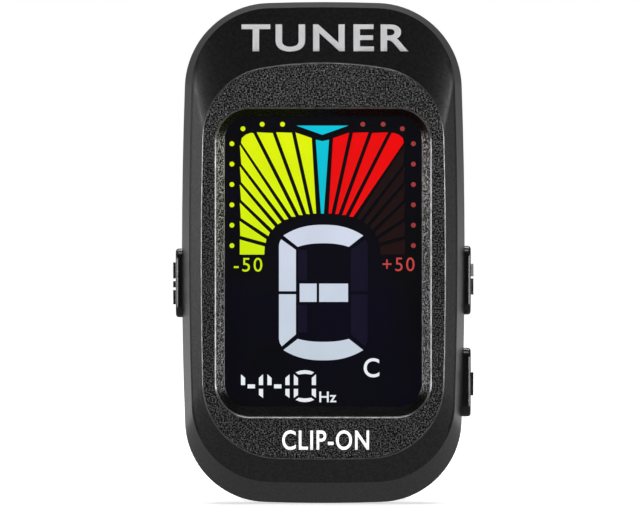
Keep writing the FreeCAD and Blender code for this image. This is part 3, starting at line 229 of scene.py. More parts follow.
def front_plastic():
    """Front shell: spark-eroded face and bevelled frame, rims with painted highlight lines, satin
    shoulder and band; painted shade in the side's crease, the frame's recess and its top and bottom
    bevels, and a painted gleam that grows with height.
    """
    made = Recipe("front_plastic")
    pane_low, pane_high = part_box("display_window")
    depth = made.calc("SUBTRACT", made.axis("Y"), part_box("front_housing")[0].y)
    across = made.calc("ABSOLUTE", made.axis("X"))
    middle = (pane_low.z + pane_high.z) / 2 - FRAME_DROP
    up = made.calc("ABSOLUTE", made.calc("SUBTRACT", made.axis("Z"), middle))
    dx = made.calc("MAXIMUM", made.calc("SUBTRACT", across, FRAME_HALF_WIDE - FRAME_CORNER), 0.0)
    dz = made.calc("MAXIMUM", made.calc("SUBTRACT", up, FRAME_HALF_HIGH - FRAME_CORNER), 0.0)
    reach = made.calc("SQRT", made.calc("ADD", made.times(dx, dx), made.times(dz, dz)))
    framed = made.ramp(reach, FRAME_CORNER, FRAME_CORNER + 0.02 * MM, 1.0, 0.0)
    side_on = made.ramp(dz, 0.0, 1.5 * MM, 1.0, 0.0)
    on_face = made.ramp(depth, *FACE_DEPTH, 1.0, 0.0)
    in_frame = made.times(framed, made.ramp(depth, *PAST_RIM))
    textured = made.calc("MAXIMUM", on_face, in_frame)
    lip = made.times(made.band(depth, LIP_RISE, LIP_FALL), made.times(framed, side_on))
    rim = made.calc("MAXIMUM", made.band(depth, RIM_RISE, RIM_FALL), lip)
    crease = made.band(depth, CREASE_RISE, CREASE_FALL)
    crease = made.times(crease, made.ramp(across, *CREASE_SIDE))

    grains = made.noise(0.17 * MM, 2.0, 0.6)
    fine = made.noise(0.07 * MM, 1.0)
    silk = made.noise(0.12 * MM, 2.0, 0.5)
    clouds = made.noise(9 * MM, 2.0)
    rim_highlight_breaks = made.noise(0.6 * MM, 3.0, 0.6)
    mould = made.noise(0.35 * MM, 3.0, 0.6)

    pale = made.between(textured, 0.006, made.ramp(grains, 0.42, 0.62, 0.002, 0.016))
    # Painted shade: the frame's recess is given a darker colour than the face.
    pale = made.between(in_frame, pale, 0.002)
    shade = made.times(pale, made.calc("MULTIPLY_ADD", clouds, 0.3, 0.85))
    colour = made.mixed(shade, grey(0.0), grey(1.0, (1.0, 1.0, 1.03)))
    # Painted highlight: lighter lines on the rims and the frame's inner lip, broken up by noise.
    rim_painted_highlight = made.times(rim, made.ramp(rim_highlight_breaks, 0.35, 0.65, 0.5, 1.0))
    colour = made.mixed(rim_painted_highlight, colour, grey(0.07))

    satin = made.calc("MULTIPLY_ADD", silk, 0.08, 0.26)
    eroded = made.calc("MULTIPLY_ADD", fine, 0.15, 0.26)
    coarse = made.between(rim, made.between(textured, satin, eroded), 0.24)

    mottled = made.ramp(mould, 0.35, 0.65, 0.8, 1.15)
    mottled = made.times(made.ramp(silk, 0.3, 0.7, 0.85, 1.15), mottled)
    # Painted shade: the satin gleam is weaker along the side's crease.
    satin_and_crease_shade = made.times(mottled, made.ramp(crease, 0.0, 1.0, 0.5, 0.24))
    # Painted shade on the frame's top and bottom bevels, and a painted highlight on its side
    # bevels.
    turned = made.between(in_frame, 1.0, made.ramp(side_on, 0.0, 1.0, 0.05, 1.15))
    # Painted highlight: the grains gleam more the higher they are.
    strong = made.times(made.ramp(made.axis("Z"), *GLEAM_HEIGHTS, 2.0, 3.1), turned)
    sparkle = made.ramp(grains, 0.45, 0.64, 0.03, strong)
    # Painted highlight: the rims and the lip gleam more than the faces beside them.
    wear_and_rim_gleam = made.ramp(rim_highlight_breaks, 0.35, 0.65, 0.8, 1.6)
    glint = made.between(rim, made.between(textured, satin_and_crease_shade, sparkle), wear_and_rim_gleam)

    pits = made.between(textured, made.times(silk, 0.04), grains)
    normal = made.bump(pits, 0.1 * MM, made.eased(0.1 * MM))
    return made.finish(Base_Color=colour, Roughness=coarse, Specular_IOR_Level=glint, Normal=normal)


def rear_plastic():
    """Rear shell: satin at the parting line, turning to spark-eroded on the back."""
    made = Recipe("rear_plastic")
    depth = made.calc("SUBTRACT", made.axis("Y"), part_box("rear_housing")[0].y)
    textured = made.ramp(depth, 1.2 * MM, 1.5 * MM)
    grains = made.noise(0.2 * MM, 2.0, 0.6)
    silk = made.noise(0.12 * MM, 2.0, 0.5)
    clouds = made.noise(9 * MM, 2.0)
    edge = made.rubbed(0.3 * MM)
    pits = made.between(textured, made.times(silk, 0.12), grains)
    pale = made.between(textured, 0.007, made.ramp(grains, 0.3, 0.75, 0.01, 0.045))
    shade = made.times(pale, made.calc("MULTIPLY_ADD", clouds, 0.5, 0.75))
    colour = made.mixed(shade, grey(0.0), grey(1.0, (1.0, 1.0, 1.03)))
    colour = made.mixed(made.times(edge, 0.4), colour, grey(0.05))
    coarse = made.between(textured, made.calc("MULTIPLY_ADD", silk, 0.08, 0.3), 0.48)
    normal = made.bump(pits, 0.03 * MM, made.eased(0.12 * MM))
    return made.finish(Base_Color=colour, Roughness=coarse, Normal=normal)


def smoked_glass():
    """Window pane: clear acrylic with a slight tint, a polished face and faint wipe marks.

    Only the outside of its surface has gloss, so the picture shows at a slant too."""
    made = Recipe("smoked_glass")
    wipes = made.noise(1.2 * MM, 4.0, 0.6, (1.0, 1.0, 0.25))
    clear = made.add("ShaderNodeBsdfTransparent")
    clear.inputs["Color"].default_value = (0.93, 0.93, 0.95, 1.0)
    gloss = made.add("ShaderNodeBsdfGlossy")
    made.feed(gloss.inputs["Roughness"], made.ramp(wipes, 0.45, 0.75, 0.03, 0.12))
    share = made.add("ShaderNodeFresnel")
    share.inputs["IOR"].default_value = 1.4
    inside = made.add("ShaderNodeNewGeometry").outputs["Backfacing"]
    mix = made.add("ShaderNodeMixShader")
    made.feed(mix.inputs[0], made.between(inside, share.outputs[0], 0.0))
    made.feed(mix.inputs[1], clear.outputs[0])
    made.feed(mix.inputs[2], gloss.outputs[0])
    return made.output(mix.outputs[0])


def crystal_glass():
    """Liquid crystal cell: black ground with a bluish cast that drifts across the glass."""
    made = Recipe("crystal_glass")
    drift = made.noise(14 * MM, 2.0)
    haze = made.noise(0.6 * MM, 3.0)
    black, bluish = (0.0026, 0.0028, 0.0034, 1.0), (0.003, 0.0026, 0.0065, 1.0)
    colour = made.mixed(made.ramp(drift, 0.35, 0.7), black, bluish)
    coarse = made.ramp(haze, 0.3, 0.8, 0.08, 0.16)
    return made.finish(
        Base_Color=colour,
        Roughness=coarse,
        Specular_IOR_Level=0.2,
        Emission_Color=colour,
        Emission_Strength=1.1,
    )


def lit(name, low_colour, high_colour, strength=1.0):
    """A lit segment: light from the backlight, a little uneven down the display."""
    made = Recipe(name)
    low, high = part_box("display_window")
    rise = made.ramp(made.axis("Z"), low.z, high.z)
    uneven = made.ramp(made.noise(5 * MM, 2.0), 0.2, 0.8, 0.94 * strength, 1.03 * strength)
    colour = made.mixed(rise, low_colour, high_colour)
    return made.finish(
        Base_Color=(0.01, 0.01, 0.01, 1.0),
        Roughness=made.ramp(made.noise(0.5 * MM), 0.2, 0.8, 0.3, 0.5),
        Specular_IOR_Level=0.1,
        Emission_Color=colour,
        Emission_Strength=uneven,
    )


def ink(name, level, glow):
    """Pad-printed ink: nearly even, with pinholes where the texture shows through. It also glows by
    the given strength, a painted brightness, though the ink is no lamp.
    """
    made = Recipe(name)
    holes = made.noise(0.11 * MM, 2.0, 0.6)
    thin = made.noise(1.4 * MM, 2.0)
    cover = made.ramp(thin, 0.2, 0.8, 0.9, 1.0)
    cover = made.times(made.ramp(holes, 0.28, 0.42, 0.72, 1.0), cover)
    colour = made.mixed(cover, grey(level * 0.4), grey(level, (1.0, 1.0, 1.02)))
    normal = made.bump(holes, 0.01 * MM)
    return made.finish(
        Base_Color=colour,
        Roughness=0.42,
        Emission_Color=colour,
        Emission_Strength=glow,
        Normal=normal,
    )


def metal(name, colour, rough, stretch=(1.0, 1.0, 1.0), grain=0.12, scratch=0.006, dull=0.35):
    """Bare or plated metal: drawn or brushed lines, dull patches and bright edges."""
    made = Recipe(name)
    lines = made.noise(grain * MM, 3.0, 0.6, stretch)
    patches = made.noise(2.5 * MM, 3.0, 0.6)
    edge = made.rubbed(0.15 * MM)
    dark = tuple(part * (1 - dull) for part in colour)
    tone = made.mixed(made.ramp(patches, 0.3, 0.7), dark + (1.0,), colour + (1.0,))
    polished = tuple(min(1, part * 1.3) for part in colour) + (1.0,)
    tone = made.mixed(made.times(edge, 0.4), tone, polished)
    coarse = made.calc("MULTIPLY_ADD", lines, 0.2, rough - 0.1)
    normal = made.bump(lines, scratch * MM, made.eased(0.06 * MM))
    return made.finish(Base_Color=tone, Metallic=1.0, Roughness=coarse, Normal=normal)


def rubber(name, level, grain, relief):
    """Soft rubber: matt, with fine pores and a dusty bloom."""
    made = Recipe(name)
    pores = made.cells(grain * MM)
    bloom = made.noise(3 * MM, 4.0, 0.6)
    colour = made.mixed(made.ramp(bloom, 0.35, 0.75), grey(level), grey(level * 2.2))
    wear_and_rim_gleam = made.times(made.rubbed(0.3 * MM), 0.4)
    colour = made.mixed(wear_and_rim_gleam, colour, grey(level * 3))
    coarse = made.ramp(bloom, 0.2, 0.8, 0.62, 0.8)
    normal = made.bump(pores, relief * MM, made.eased(0.15 * MM))
    return made.finish(Base_Color=colour, Roughness=coarse, Sheen_Weight=0.15, Normal=normal)


def solder_mask():
    """Circuit board: green lacquer over copper tracks, gold pads and the bare edge."""
    made = Recipe("solder_mask")
    low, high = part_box("main_board")
    runs = made.add("ShaderNodeTexBrick", offset=0.35, squash=1.6)
    turned = made.add("ShaderNodeMapping")
    made.feed(turned.inputs["Vector"], made.place)
    turned.inputs["Rotation"].default_value = (math.pi / 2, 0.0, 0.0)
    made.feed(runs.inputs["Vector"], turned.outputs[0])
    for name, value in (("Scale", 420.0), ("Mortar Size", 0.06), ("Mortar Smooth", 0.1)):
        runs.inputs[name].default_value = value
    track = runs.outputs["Fac"]
    holes = made.ramp(made.cells(2.4 * MM, (1.0, 0.0, 1.0)), 0.1, 0.13, 1.0, 0.0)
    mottled = made.noise(0.8 * MM, 3.0)
    green = made.mixed(mottled, (0.006, 0.07, 0.03, 1.0), (0.01, 0.1, 0.045, 1.0))
    green = made.mixed(track, green, (0.03, 0.2, 0.08, 1.0))
    colour = made.mixed(holes, green, (0.75, 0.55, 0.2, 1.0))
    side = made.calc("ABSOLUTE", made.calc("SUBTRACT", made.axis("Y"), (low.y + high.y) / 2))
    edge = made.ramp(side, 0.44 * MM, 0.47 * MM, 1.0, 0.0)
    colour = made.mixed(edge, colour, (0.3, 0.28, 0.13, 1.0))
    normal = made.bump(track, 0.02 * MM)
    gold = made.times(holes, 0.9)
    return made.finish(Base_Color=colour, Metallic=gold, Roughness=0.3, Normal=normal)


def layered_silicone():
    """Zebra strip: thin black layers across pink silicone."""
    made = Recipe("layered_silicone")
    wave = made.add("ShaderNodeTexWave", bands_direction="X")
    made.feed(wave.inputs["Vector"], made.place)
    wave.inputs["Scale"].default_value = 900.0
    wave.inputs["Distortion"].default_value = 0.4
    layers = wave.outputs["Fac"]
    colour = made.mixed(made.ramp(layers, 0.45, 0.6), (0.75, 0.42, 0.42, 1.0), grey(0.02))
    return made.finish(Base_Color=colour, Roughness=0.6, Normal=made.bump(layers, 0.01 * MM))


def light_resin(name, colour, dots=0.0):
    """Clear or white resin, printed with a grid of dots where it spreads light."""
    made = Recipe(name)
    specks = made.ramp(made.cells(0.8 * MM), 0.2, 0.28, 1.0, 0.0)
    clouds = made.noise(4 * MM, 2.0)
    tone = made.mixed(clouds, tuple(part * 0.9 for part in colour) + (1.0,), colour + (1.0,))
    tone = made.mixed(made.times(specks, dots), tone, (1.0, 1.0, 1.0, 1.0))
    normal = made.bump(clouds, 0.01 * MM)
    return made.finish(
        Base_Color=tone, Roughness=0.3, Coat_Weight=0.4, Subsurface_Weight=0.1, Normal=normal
    )


def ceramic(name, colour, ends=0.0):
    """Fired ceramic, with tinned ends on the small capacitors."""
    made = Recipe(name)
    grit = made.noise(0.1 * MM, 3.0, 0.6)
    tone = made.mixed(grit, tuple(part * 0.8 for part in colour) + (1.0,), colour + (1.0,))
    tin = made.times(made.ramp(made.noise(0.9 * MM), 0.5, 0.56), ends)
    tone = made.mixed(tin, tone, (0.75, 0.75, 0.72, 1.0))
    normal = made.bump(grit, 0.008 * MM)
    return made.finish(Base_Color=tone, Metallic=tin, Roughness=0.42, Normal=normal)


def sleeve():
    """Pickup leads: red sleeves that darken to black along one wire."""
    made = Recipe("sleeve")
    low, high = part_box("piezo_leads")
    middle = (low.x + high.x) / 2
    share = made.ramp(made.axis("X"), middle - 0.2 * MM, middle + 0.2 * MM)
    scuffs = made.noise(0.4 * MM, 3.0)
    tone = made.mixed(share, (0.45, 0.02, 0.015, 1.0), (0.015, 0.015, 0.016, 1.0))
    tone = made.mixed(made.times(scuffs, 0.2), tone, grey(0.3))
    return made.finish(Base_Color=tone, Roughness=0.4, Normal=made.bump(scuffs, 0.01 * MM))


FINISHES = {
    "keys": moulded("key_plastic", 0.006, 0.22, 0.14 * MM, 0.008 * MM, 0.35),
    "clip": moulded("clip_plastic", 0.02, 0.42, 0.2 * MM, 0.035 * MM, 0.5),
    "casing": rear_plastic(),
    "window": smoked_glass(),
    "gasket": rubber("foam_tape", 0.008, 0.12, 0.03),
    "lcd": crystal_glass(),
    "light_guide": light_resin("clear_resin", (0.8, 0.84, 0.9), 0.6),
    "reflector": light_resin("white_film", (0.86, 0.86, 0.84)),
    "lamp": light_resin("lamp_resin", (0.9, 0.86, 0.45), 0.3),
    "zebra": layered_silicone(),
    "board": solder_mask(),
    "package": moulded("chip_resin", 0.016, 0.5, 0.08 * MM, 0.01 * MM, 0.1),
    "can": metal("crystal_can", (0.72, 0.72, 0.7), 0.28, (1.0, 1.0, 6.0)),
    "capacitor": ceramic("capacitor_body", (0.42, 0.27, 0.13), 1.0),
    "coin": metal("cell_steel", (0.78, 0.78, 0.77), 0.25, (1.0, 1.0, 12.0), 0.3, 0.004, 0.15),
    "piezo_brass": metal("rolled_brass", (0.82, 0.6, 0.22), 0.3, (8.0, 1.0, 1.0), 0.3),
    "piezo_white": ceramic("silvered_ceramic", (0.78, 0.77, 0.72)),
    "wire": sleeve(),
    "screw": metal("black_zinc", (0.16, 0.16, 0.17), 0.34, (1.0, 1.0, 1.0), 0.2, 0.004, 0.3),
    "plunger": moulded("white_acetal", 0.5, 0.4, 0.1 * MM, 0.005 * MM, 0.0, (1.0, 1.0, 0.95)),
    "stud": moulded("black_acetal", 0.01, 0.22, 0.15 * MM, 0.003 * MM, 0.25),
    "spring": metal("spring_steel", (0.6, 0.61, 0.63), 0.24, (1.0, 1.0, 1.0), 0.1, 0.004, 0.25),
    "pin": metal("pin_steel", (0.62, 0.62, 0.63), 0.22, (1.0, 8.0, 8.0), 0.1, 0.004, 0.2),
    "pad": rubber("pad_rubber", 0.022, 0.22, 0.03),
}


def dress_cad_nodes():
    """Each CAD slot's name says what it is made of; the front shell has a finish of its own."""
    for node in NODES.values():
        for place in node.material_slots:
            place.material = FINISHES[place.material.name.split(".")[0]]
    NODES["front_housing"].material_slots[0].material = front_plastic()


dress_cad_nodes()


# ---------------------------------------------------------------- mesh helpers

MERGE_GAP = 1e-7


def new_object(name, mesh):
    made = bpy.data.objects.new(name, mesh)
    bpy.context.scene.collection.objects.link(made)
    return made


def placed(name, mesh, body):
    """An object of the mesh, riding on the body."""
    made = new_object(name, mesh)
    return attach(made, body)


def mesh_of(curve):
    """The mesh that a curve or text object draws; the curve's own object is removed."""
    drawn = new_object(curve.name + "_line", curve)
    depsgraph = bpy.context.evaluated_depsgraph_get()
    mesh = bpy.data.meshes.new_from_object(drawn.evaluated_get(depsgraph))
    bpy.data.objects.remove(drawn)
    return mesh


def dressed(drawing, mesh, material):
    """Writes the drawing to the mesh, facing outwards, with that one material."""
    bmesh.ops.recalc_face_normals(drawing, faces=drawing.faces)
    drawing.to_mesh(mesh)
    drawing.free()
    mesh.materials.clear()
    mesh.materials.append(material)
    return mesh


def surface_of(node):
    """A tree of the CAD node's faces that a ray can be cast on."""
    mesh = NODES[node].data
    places = [vertex.co for vertex in mesh.vertices]
    return BVHTree.FromPolygons(places, [face.vertices[:] for face in mesh.polygons])


def extruded(drawing):
    """Copies every face, joined to the first ones by sides, and returns the copies' corners."""
    grown = bmesh.ops.extrude_face_region(drawing, geom=drawing.faces[:])
    return {part for part in grown["geom"] if isinstance(part, bmesh.types.BMVert)}


def built(name, make, material, body):
    """A piece whose mesh make(drawing) draws; it rides on the body."""
    drawing = bmesh.new()
    make(drawing)
    return placed(name, dressed(drawing, bpy.data.meshes.new(name), material), body)


def slab(drawing, outline, front, back):
    """A closed flat solid over an X-Z outline, between two depths along Y."""
    fore = [drawing.verts.new((x, front, z)) for x, z in outline]
    aft = [drawing.verts.new((x, back, z)) for x, z in outline]
    drawing.faces.new(fore)
    drawing.faces.new(aft[::-1])
    for here in range(len(outline)):
        after = (here + 1) % len(outline)
        drawing.faces.new((fore[here], fore[after], aft[after], aft[here]))


# ---------------------------------------------------------------- display

# The picture on the glass is drawn in millimetres from a point just above the pane's middle.
# Each segment is a closed sheet in the gap between the pane and the glass.

PANE_LOW, PANE_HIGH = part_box("display_window")
PICTURE_RISE = 0.09 * MM
CENTRE = Vector(((PANE_LOW.x + PANE_HIGH.x) / 2, 0, (PANE_LOW.z + PANE_HIGH.z) / 2 + PICTURE_RISE))
SHEET_FRONT = PANE_HIGH.y + 0.07 * MM
SHEET_BACK = PANE_HIGH.y + 0.13 * MM
SCALE_ASIDE = -0.1

# The fan: its outer edges, where its blades are cut along them, and the hub inside it
FAN_EDGE = 9.2
FAN_LOW = 0.68
FAN_HIGH = 14.3
FAN_GAP = 0.42
FAN_SIDE_CUTS = [2.56 + 2.02 * k for k in range(5)]
FAN_CORNER_CUT = (-9.24, 13.02)
FAN_CORNER_ROUND = (1.75, 1.25)
FAN_TOP_CUTS = [-7.5 + 2.15 * k for k in range(3)]
FAN_LAST = (-1.19, 13.66)
FAN_SLOPE_START = (-2.95, 14.26)
HUB_HALF = (6.48, 4.81)
HUB_RISE = 0.44
HUB_POWER = 2.5
CUT_ANGLES = (11.9, 7.1, 0.11)
HUB_FIRST = 2
HUB_LAST = 81.8
CORNER_BLADE = 6
SLOPED_BLADE = 9
LIT_SHARP = 4


def hub_point(angle):
    """A point of the fan's inner edge, a rounded rectangle, that many degrees up from its side."""
    cos, sin = math.cos(math.radians(angle)), math.sin(math.radians(angle))
    spread = (cos / HUB_HALF[0]) ** HUB_POWER + (sin / HUB_HALF[1]) ** HUB_POWER
    reach = spread ** (-1 / HUB_POWER)
    return (-reach * cos, HUB_RISE + reach * sin)


def cut_angle(cut):
    """Where a cut meets the hub; the blades widen a little towards the pointer."""
    first, step, growth = CUT_ANGLES
    return first + step * cut + growth * cut * cut


def rounded_corner():
    """The fan's top outer corner, from the corner cut up to its level top."""
    across, up = FAN_CORNER_ROUND
    centre = (-FAN_EDGE + across, FAN_HIGH - up)
    steps = [math.radians(angle) for angle in (150, 128, 108)]
    return [(centre[0] + across * math.cos(a), centre[1] + up * math.sin(a)) for a in steps]


def shifted(start, end, offset):
    """The line from start to end moved sideways, to its left when the offset is positive."""
    run = (end[0] - start[0], end[1] - start[1])
    length = math.hypot(*run)
    side = (-run[1] / length * offset, run[0] / length * offset)
    return [(p[0] + side[0], p[1] + side[1]) for p in (start, end)]


def fan_blades():
    """The ten blades of the flat side, from the lowest to the one beside the pointer."""
    outer = [(-FAN_EDGE, z) for z in FAN_SIDE_CUTS] + [FAN_CORNER_CUT]
    outer += [(x, FAN_HIGH) for x in FAN_TOP_CUTS]
    cuts = [(point, hub_point(cut_angle(index))) for index, point in enumerate(outer)]
    blades = []
    for index in range(len(cuts) + 1):
        lower = upper = None
        if index > 0:
            lower = shifted(*cuts[index - 1], FAN_GAP / 2)
        if index < len(cuts):
            upper = shifted(*cuts[index], -FAN_GAP / 2)
        if lower is None:
            lower = [(-FAN_EDGE, FAN_LOW), (hub_point(HUB_FIRST)[0], FAN_LOW)]
        if upper is None:
            upper = [FAN_LAST, hub_point(HUB_LAST)]
        outline = [clip_to_fan(lower[0])]
        if index == CORNER_BLADE:
            outline += rounded_corner()
        if index == SLOPED_BLADE:
            outline.append(FAN_SLOPE_START)
        blades.append(outline + [clip_to_fan(upper[0]), upper[1], lower[1]])
    return blades


def clip_to_fan(point):
    """Keeps a shifted corner on the fan's straight outer edges."""
    x, z = point
    return (max(x, -FAN_EDGE), min(z, FAN_HIGH))


def mirrored(outline):
    """The same outline on the other side of the middle."""
    return [(-x, z) for x, z in outline][::-1]


def aside(outlines):
    """The scale and its pointer stand a little to the left of the pane's middle."""
    return [[(x + SCALE_ASIDE, z) for x, z in outline] for outline in outlines]


def drawn_at(outline):
    """An outline in millimetres from the pane's centre, as places in the frame."""
    return [(CENTRE.x + x * MM, CENTRE.z + z * MM) for x, z in outline]


def segments(name, outlines, material):
    """Display segments of one colour, as one piece."""

    def make(drawing):
        for outline in outlines:
            slab(drawing, drawn_at(outline), SHEET_FRONT, SHEET_BACK)

    return built(name, make, material, "head")


ARCH_POWER = 2.4
ARCH_STEPS = 16
NOTE_OUTER = -4.94
NOTE_INNER = -3.05


def arched(side, apex):
    """A shallow arch between (-x, z) and (x, z), where side is (x, z), that peaks on the axis."""
    shares = [2 * k / ARCH_STEPS - 1 for k in range(ARCH_STEPS + 1)]
    return [(side[0] * s, apex + (side[1] - apex) * abs(s) ** ARCH_POWER) for s in shares]


def arch(outer, outer_apex, inner, inner_apex):
    """The band between two shallow arches, ending at the slanted cuts between them."""
    return arched(outer, outer_apex) + arched(inner, inner_apex)[::-1]


def block(left, low, right, high):
    """An upright rectangle."""
    return [(left, high), (right, high), (right, low), (left, low)]


def note_segments():
    """The note letter, a ring of bars with a middle bar in two blocks, and its unlit bars."""
    upper = [(NOTE_OUTER, 1.7), (-4.85, 2.12), (-4.68, 2.38), (NOTE_INNER, 1.2)]
    upper += [(NOTE_INNER, -3.4), (NOTE_OUTER, -3.4)]
    lower = [(NOTE_OUTER, -3.74), (NOTE_INNER, -3.74), (NOTE_INNER, -8.2)]
    lower += [(-4.62, -9.55), (-4.84, -9.2), (NOTE_OUTER, -8.7)]
    top = arch((4.45, 2.8), 4.0, (2.85, 1.54), 1.94)
    bottom = arch((4.45, -9.96), -11.1, (2.85, -8.71), -9.04)
    middle = [block(-2.63, -4.59, -0.74, -2.55), block(-0.46, -4.59, 2.76, -2.55)]
    columns = [block(-2.8, -2.2, -1.8, 1.2), block(-2.8, -8.0, -1.8, -4.9)]
    return [upper, lower, top, bottom] + middle, [mirrored(upper), mirrored(lower)] + columns


# The small digits: how they are spaced, and their bars' outlines from the top corner, with
# widths in shares of a bar's width
DIGIT_LEFT = -9.17
DIGIT_PITCH = 2.945
DIGIT_WIDE = 2.46
DIGIT_TOP = -12.66
DIGIT_MIDDLE = -13.975
BAR_WIDE = 0.46
BARS = {
    "upper left": [(0, 0), (1, -0.4), (1, -1.2), (0, -1.2)],
    "lower left": [(0, -1.62), (1, -1.62), (1, -2.3), (0, -2.63)],
}


def digit(place, bars):
    """The chosen bars of one of the seven-bar digits, whose places count from the left."""
    left = DIGIT_LEFT + DIGIT_PITCH * place
    right = left + DIGIT_WIDE
    centre = (left + right) / 2

    def side(name, flip):
        points = [(x * BAR_WIDE, DIGIT_TOP + z) for x, z in BARS[name]]
        return [(right - x if flip else left + x, z) for x, z in points]

    cap = [(left + 0.2, -12.44), (left + 0.7, -12.25), (centre, -12.19)]
    cap += [(right - 0.7, -12.25), (right - 0.2, -12.44)]
    cap += [(right - 0.5, -12.68), (centre, -12.6), (left + 0.5, -12.68)]
    shapes = {
        "upper left": side("upper left", False),
        "upper right": side("upper left", True),
        "lower left": side("lower left", False),
        "lower right": side("lower left", True),
        "middle": block(left + 0.74, -14.22, right - 0.9, -13.78),
        "top": cap,
        "bottom": [(x, 2 * DIGIT_MIDDLE - z) for x, z in cap],
    }
    return [shapes[bar] for bar in bars]


FOUR = ("upper left", "middle", "upper right", "lower right")
NOUGHT = ("upper left", "lower left", "top", "bottom", "upper right", "lower right")


DOT_RADIUS = 0.27
DOT_CORNERS = 20
DOTS_ASIDE = -0.14
SIDE_DOTS = [(-10.18, 1.68 + 2.27 * k) for k in range(6)]
SCALE_DOTS = SIDE_DOTS + [(-8.95, 14.7), (-6.81, 15.2), (-4.54, 15.2)]


def dot(x, z):
    turns = [2 * math.pi * k / DOT_CORNERS for k in range(DOT_CORNERS)]
    return [(x + DOT_RADIUS * math.cos(turn), z + DOT_RADIUS * math.sin(turn)) for turn in turns]


def lettering(name, words, left, low, right, high, weight, spacing=1.0):
    """Generic letters as a flat mesh whose ink fills the given X-Z box, in metres."""
    curve = bpy.data.curves.new(name, "FONT")
    curve.body = words
    curve.offset = weight
    curve.space_character = spacing
    curve.resolution_u = 6
    mesh = mesh_of(curve)
    xs = [v.co.x for v in mesh.vertices]
    ys = [v.co.y for v in mesh.vertices]
    wide = (right - left) / (max(xs) - min(xs))
    tall = (high - low) / (max(ys) - min(ys))
    for vertex in mesh.vertices:
        x, y = vertex.co.x, vertex.co.y
        vertex.co = (left + (x - min(xs)) * wide, 0.0, low + (y - min(ys)) * tall)
    return mesh


def thick_letters(mesh, material, front, back):
    """Gives a flat mesh of letters its two faces and its edges."""
    drawing = bmesh.new()
    drawing.from_mesh(mesh)
    bmesh.ops.remove_doubles(drawing, verts=drawing.verts, dist=MERGE_GAP)
    moved = extruded(drawing)
    for vertex in drawing.verts:
        vertex.co.y = front if vertex in moved else back
    return dressed(drawing, mesh, material)


def display_words(name, words, box, weight, material, spacing=1.0):
    """Generic signs on the display; the box is left, low, right and high in millimetres."""
    low_corner, high_corner = drawn_at([box[:2], box[2:]])
    mesh = lettering(name, words, *low_corner, *high_corner, weight, spacing)
    return placed(name, thick_letters(mesh, material, SHEET_FRONT, SHEET_BACK), "head")


def draw_display():
    """The picture: both halves of the scale, the pointer, the note, its pitch and the signs."""
    flat_green = lit("flat_light", (0.52, 0.86, 0.0, 1.0), (0.78, 0.93, 0.0, 1.0), 1.15)
    sharp_red = lit("sharp_light", (0.95, 0.0, 0.0, 1.0), (1.0, 0.0, 0.0, 1.0))
    dull_red = lit("sharp_unlit", (0.022, 0.002, 0.002, 1.0), (0.014, 0.003, 0.003, 1.0), 0.75)
    faded_red = lit("limit_red", (0.6, 0.03, 0.03, 1.0), (0.66, 0.1, 0.09, 1.0))
    dot_red = lit("dot_red", (0.34, 0.035, 0.035, 1.0), (0.4, 0.05, 0.05, 1.0))
    cyan = lit("pointer_light", (0.0, 0.5, 0.6, 1.0), (0.0, 0.66, 0.8, 1.0))
    white = lit("note_light", (0.56, 0.64, 0.7, 1.0), (0.7, 0.74, 0.86, 1.0), 1.15)
    clear_white = lit("digit_light", (0.84, 0.88, 0.88, 1.0), (0.84, 0.88, 0.9, 1.0), 1.15)
    ghost = lit("note_unlit", (0.005, 0.003, 0.026, 1.0), (0.006, 0.004, 0.024, 1.0), 0.6)
    blades = fan_blades()
    sharp = [mirrored(blade) for blade in blades]
    segments("flat_scale", aside(blades), flat_green)
    segments("sharp_scale", aside(sharp[-LIT_SHARP:]), sharp_red)
    segments("sharp_scale_unlit", aside(sharp[:-LIT_SHARP]), dull_red)
    needle = [(-0.74, 13.48), (0, 13.32), (0.74, 13.48), (0.16, 5.24), (-0.16, 5.24)]
    arrow = [(-2.9, 15.05), (2.9, 15.05), (0, 14.02)]
    segments("pointer", aside([needle, arrow]), cyan)
    letter, unlit_bars = note_segments()
    segments("note_letter", letter, white)
    segments("note_letter_unlit", unlit_bars, ghost)
    digits = digit(0, FOUR) + digit(1, FOUR) + digit(2, NOUGHT)
    segments("pitch_digits", digits, clear_white)
    segments("flat_dots", [dot(x, z) for x, z in SCALE_DOTS], flat_green)
    segments("sharp_dots", [dot(DOTS_ASIDE - x, z) for x, z in SCALE_DOTS], dot_red)
    display_words("flat_limit", "-50", (-9.96, -1.22, -6.8, 0.32), 0.0, flat_green, 1.2)
    display_words("sharp_limit", "+50", (6.6, -1.17, 10.16, 0.36), 0.0, faded_red, 1.2)
    display_words("pitch_unit", "Hz", (-0.44, -15.77, 1.46, -14.58), 0.01, clear_white)
    display_words("mode_letter", "C", (4.5, -13.0, 6.24, -10.86), 0.012, clear_white)


draw_display()


# ---------------------------------------------------------------- printing on the face

PRINT_LIFT = 0.012 * MM
PRINT_STEP = 0.5 * MM


def sliced(drawing, start, end, direction):
    """Cuts flat letters into strips across the direction, so that they can follow a slope."""
    strips = int((end - start) / PRINT_STEP)
    for cut in range(1, strips):
        everything = drawing.verts[:] + drawing.edges[:] + drawing.faces[:]
        place = Vector(direction) * (start + (end - start) * cut / strips)
        bmesh.ops.bisect_plane(drawing, geom=everything, plane_co=place, plane_no=direction)


